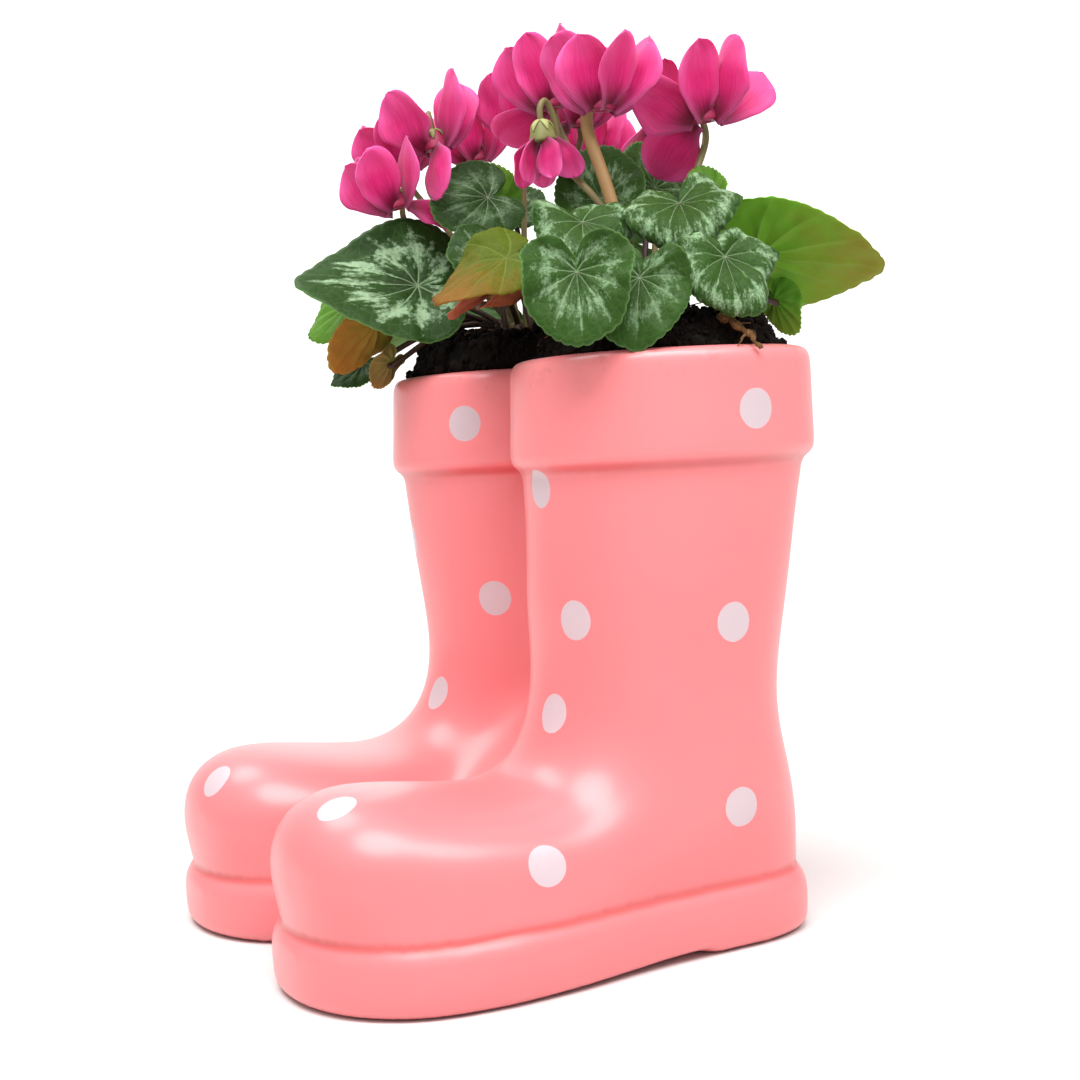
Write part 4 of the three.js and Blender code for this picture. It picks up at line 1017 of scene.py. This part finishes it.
def petal_skin():
    """Petal: magenta that deepens to crimson at the cup and pales to lilac pink at the edge and tip, partly its own
    colour and partly a painted highlight, with fine streaks along it. Velvety cells scatter light, so it is soft,
    sheened and lets light glow through."""
    material, tree = new_material("magenta petal")
    t, w, seed = split(tree, field(tree, "place"))
    streaks = noise(tree, packed(tree, times(tree, w, 5.0), t, seed), 3.2, 4.0, 0.6)
    root = ranged(tree, times(tree, streaks, 0.22, t), 0.56, 0.16, smooth=True)
    # Paler edges and tips, patchy by noise: partly the petal's own colour, partly a painted highlight
    border = ranged(tree, maths(tree, "ABSOLUTE", w), 0.45, 1.0, 0.0, 0.6)
    light = maths(tree, "ADD", border, ranged(tree, t, 0.55, 1.0, 0.0, 0.6), clamp=True)
    pale_edge_and_highlight = times(tree, light, noise(tree, own_place(tree), 90.0))
    colour = coated(tree, mixed(tree, streaks, "#9E0B48", "#DE3084"), (root, "#66062A"), (pale_edge_and_highlight, "#EE74B8"))
    bump = bumped(tree, 0.35, 0.0004, streaks)
    return finished(material, colour, 0.5,
                    {"Normal": bump, "Specular IOR Level": 0.2, "Sheen Weight": 0.12, "Sheen Roughness": 0.4,
                     **glow(0.35, (1.0, 0.25, 0.45), 0.0015)})


petal_pink = petal_skin()
crimson = flower_stem("crimson flower cup", "#7A0C38", "#A81A50")
sepal_green = flower_stem("calyx", "#5E5A30", "#8E9150")
calyx_green = flower_stem("calyx of the young flower", "#8A9350", "#B5B878")
skins = [petal_pink, crimson, sepal_green, calyx_green]
for plant, side in SIDES:
    for i, row in enumerate(BLOOMS[plant]):
        x, y, z, tilt, heading, bearing, length, width, _, rises = row
        hanging = max(rises) < 0
        shapes, which, fields = [], [], []
        for k, rise in enumerate(rises):
            # Petals that still hang are the shortest, and the others differ a little
            size = length * (0.85 if rise < 0 else 1 - 0.05 * ((k * 2) % 3))
            turn = bearing + PETAL_FIRST + PETAL_STEP * k
            top, under, place = petal(turn, size, width, rise, OWN_TWIST[plant][i].get(k, 0), 3.1 * k + 7 * i)
            shapes.append(sheet_skin(top, under, False))
            which += [0, 0, 0]
            fields += [place.reshape(-1, 3)] * 2
        # The cup and each of the five sepals bring three arrays of faces; a young flower's cup is still green
        shapes += [cup()] + [sheet_skin(*sepal(bearing + 36 + 72 * k), False) for k in range(5)]
        which += [2 if hanging else 1] * 3 + [3 if hanging else 2] * 15
        points, faces = together(shapes)
        fields.append(np.zeros((len(points) - sum(len(f) for f in fields), 3)))
        points = points @ bloom_axes(tilt, heading) + [x, y, z]
        flower = make_object(f"flower_{plant}_{i + 1:02d}", points, faces, skins, which,
                             {"place": np.concatenate(fields)})
        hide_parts(f"bloom_{plant}_{i + 1:02d}")
        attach(flower, "root")

# Flower stalks: fleshy brown stems that rise from the crown past the mouth of the flower, pass through the wide
# gap between two petals, hook over, and come down onto the top of the cup.
STALK_RING = 6.5
STALK_TURN = 0.5
STALK_RADIUS = 1.1
# How far beside the flower's axis the stalk goes up
HOOK_SIDE = 7.4


def stalk(row, foot):
    """Path through foot, crown, a point over half way, and the hook beside and above the cup, as one smooth curve;
    the radius keeps to the foot's up to the mouth and then narrows to the hook's."""
    x, y, z, tilt, heading, bearing, _, _, radius, _ = row
    ex, ey, up = bloom_axes(tilt, heading)
    side = ex * np.cos(np.radians(bearing)) + ey * np.sin(np.radians(bearing))
    mouth = np.array([x, y, z])
    hook = [mouth + side * a + up * b for a, b in
            ((HOOK_SIDE, -7), (HOOK_SIDE, 2), (HOOK_SIDE - 0.8, 10), (HOOK_SIDE / 2, 14.5), (0.6, 12), (0, 7.4))]
    base, out, neck = (np.array([*foot, h]) for h in (STEM_FOOT_Z, CROWN_Z + 1, CROWN_Z + 7))
    half = neck + (hook[0] - neck) * 0.55 + [0, 0, 3]
    s = np.linspace(0, 9, 91)
    path = spline([base, out, neck, half, *hook], s)
    return tube(path, radius + (STALK_RADIUS - radius) * smooth_step((s - 4) / 3), 12)


thin_stem = flower_stem("olive brown flower stem", "#5F5A34", "#857549")
thick_stem = flower_stem("ochre brown flower stem", "#7A5A34", "#A07A48")
for plant, side in SIDES:
    rows = BLOOMS[plant]
    for i, row in enumerate(rows):
        stem = make_object(f"flower_stem_{plant}_{i + 1:02d}",
                           *together([stalk(row, stem_foot(side, i, len(rows), STALK_RING, STALK_TURN))]),
                           [thick_stem if row[8] > 2 else thin_stem])
        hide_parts(f"stalk_{plant}_{i + 1:02d}")
        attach(stem, "root")

# Setting: a pale card sweep, soft lights overhead, to both sides and on the backdrop, a white surround, and a camera
# where the photo was taken from.
CAMERA_AT = np.array([591.39, -311.27, 174.11]) / 1000
AZIMUTH, PITCH, ROLL = np.radians([63.4, 3.09, -3.21])
FOCAL = 1753.09 / 1080
SENSOR = 36
# Gap in metres that keeps the card from meeting the soles
BELOW_SOLES = 0.0002


def sweep():
    """Floor that turns up behind: straight, a quarter circle of 1 m, then straight up; drawn wide across the
    direction of view."""
    s = np.linspace(0, 1, 40)
    run = np.concatenate([np.linspace(-2.5, 0.9, 20), 0.9 + np.sin(s * np.pi / 2), np.full(12, 1.9)])
    rise = np.concatenate([np.zeros(20), 1 - np.cos(s * np.pi / 2), np.linspace(1.02, 3, 12)])
    across = np.linspace(-4.5, 4.5, 30)
    grid = turned(AZIMUTH, across, run[:, None], rise[:, None] - BELOW_SOLES)
    index = np.arange(grid[..., 0].size).reshape(grid.shape[:2])
    quads = np.stack([index[:-1, :-1], index[:-1, 1:], index[1:, 1:], index[1:, :-1]], -1).reshape(-1, 4)
    return grid.reshape(-1, 3) * 1000, [quads]


def paper():
    """White card: matt, with a barely seen grain."""
    material, tree = new_material("white card")
    colour = mixed(tree, noise(tree, own_place(tree), 400.0), "#D6D5D4", "#DAD9D8")
    return finished(material, colour, 0.9, {"Specular IOR Level": 0.1})


floor = make_object("sweep", *sweep(), [paper()])


def posed(name, data, right, up, back, at):
    """Lamp or camera at its place, with its own three axes given."""
    made = bpy.data.objects.new(name, data)
    axes = np.column_stack([right, up, back])
    made.matrix_world = Matrix(np.block([[axes, np.array(at)[:, None]], [np.zeros(3), 1]]).tolist())
    bpy.context.scene.collection.objects.link(made)
    return made


def soft_light(name, at, size, watts, aim=(0, 0, 0.16)):
    lamp = bpy.data.lights.new(name, "AREA")
    lamp.shape = "DISK"
    lamp.size = size
    lamp.energy = watts
    back = unit(np.array(at) - np.array(aim))
    right = unit(np.cross([0.01, 0.02, 1], back))
    posed(name, lamp, right, np.cross(back, right), back, at)


# Name, place in metres, width in metres, watts, and where it points if not at the plant
soft_light("ceiling", (0.6, -0.5, 1.8), 1.4, 40)
soft_light("key", (1.0, 0.32, 1.4), 0.8, 12.5)
soft_light("side", (-0.85, -0.5, 1.5), 0.8, 9)
soft_light("backdrop", (-0.95, 0.48, 1.25), 0.8, 14, (-1.9, 0.95, 1.1))

world = bpy.data.worlds.new("studio")
world.use_nodes = True
world.node_tree.nodes["Background"].inputs["Color"].default_value = (1, 1, 1, 1)
world.node_tree.nodes["Background"].inputs["Strength"].default_value = 0.68
bpy.context.scene.world = world
bpy.context.scene.view_settings.view_transform = "Standard"

back = np.array([np.sin(AZIMUTH) * np.cos(PITCH), -np.cos(AZIMUTH) * np.cos(PITCH), np.sin(PITCH)])
right = np.array([np.cos(AZIMUTH), np.sin(AZIMUTH), 0])
up = np.cross(back, right)
rolled = np.cos(ROLL) * right + np.sin(ROLL) * up
raised = np.cos(ROLL) * up - np.sin(ROLL) * right
lens = bpy.data.cameras.new("camera")
lens.sensor_width = SENSOR
lens.lens = SENSOR * FOCAL
lens.clip_start = 0.01
camera = posed("camera", lens, rolled, raised, back, CAMERA_AT)
bpy.context.scene.camera = camera
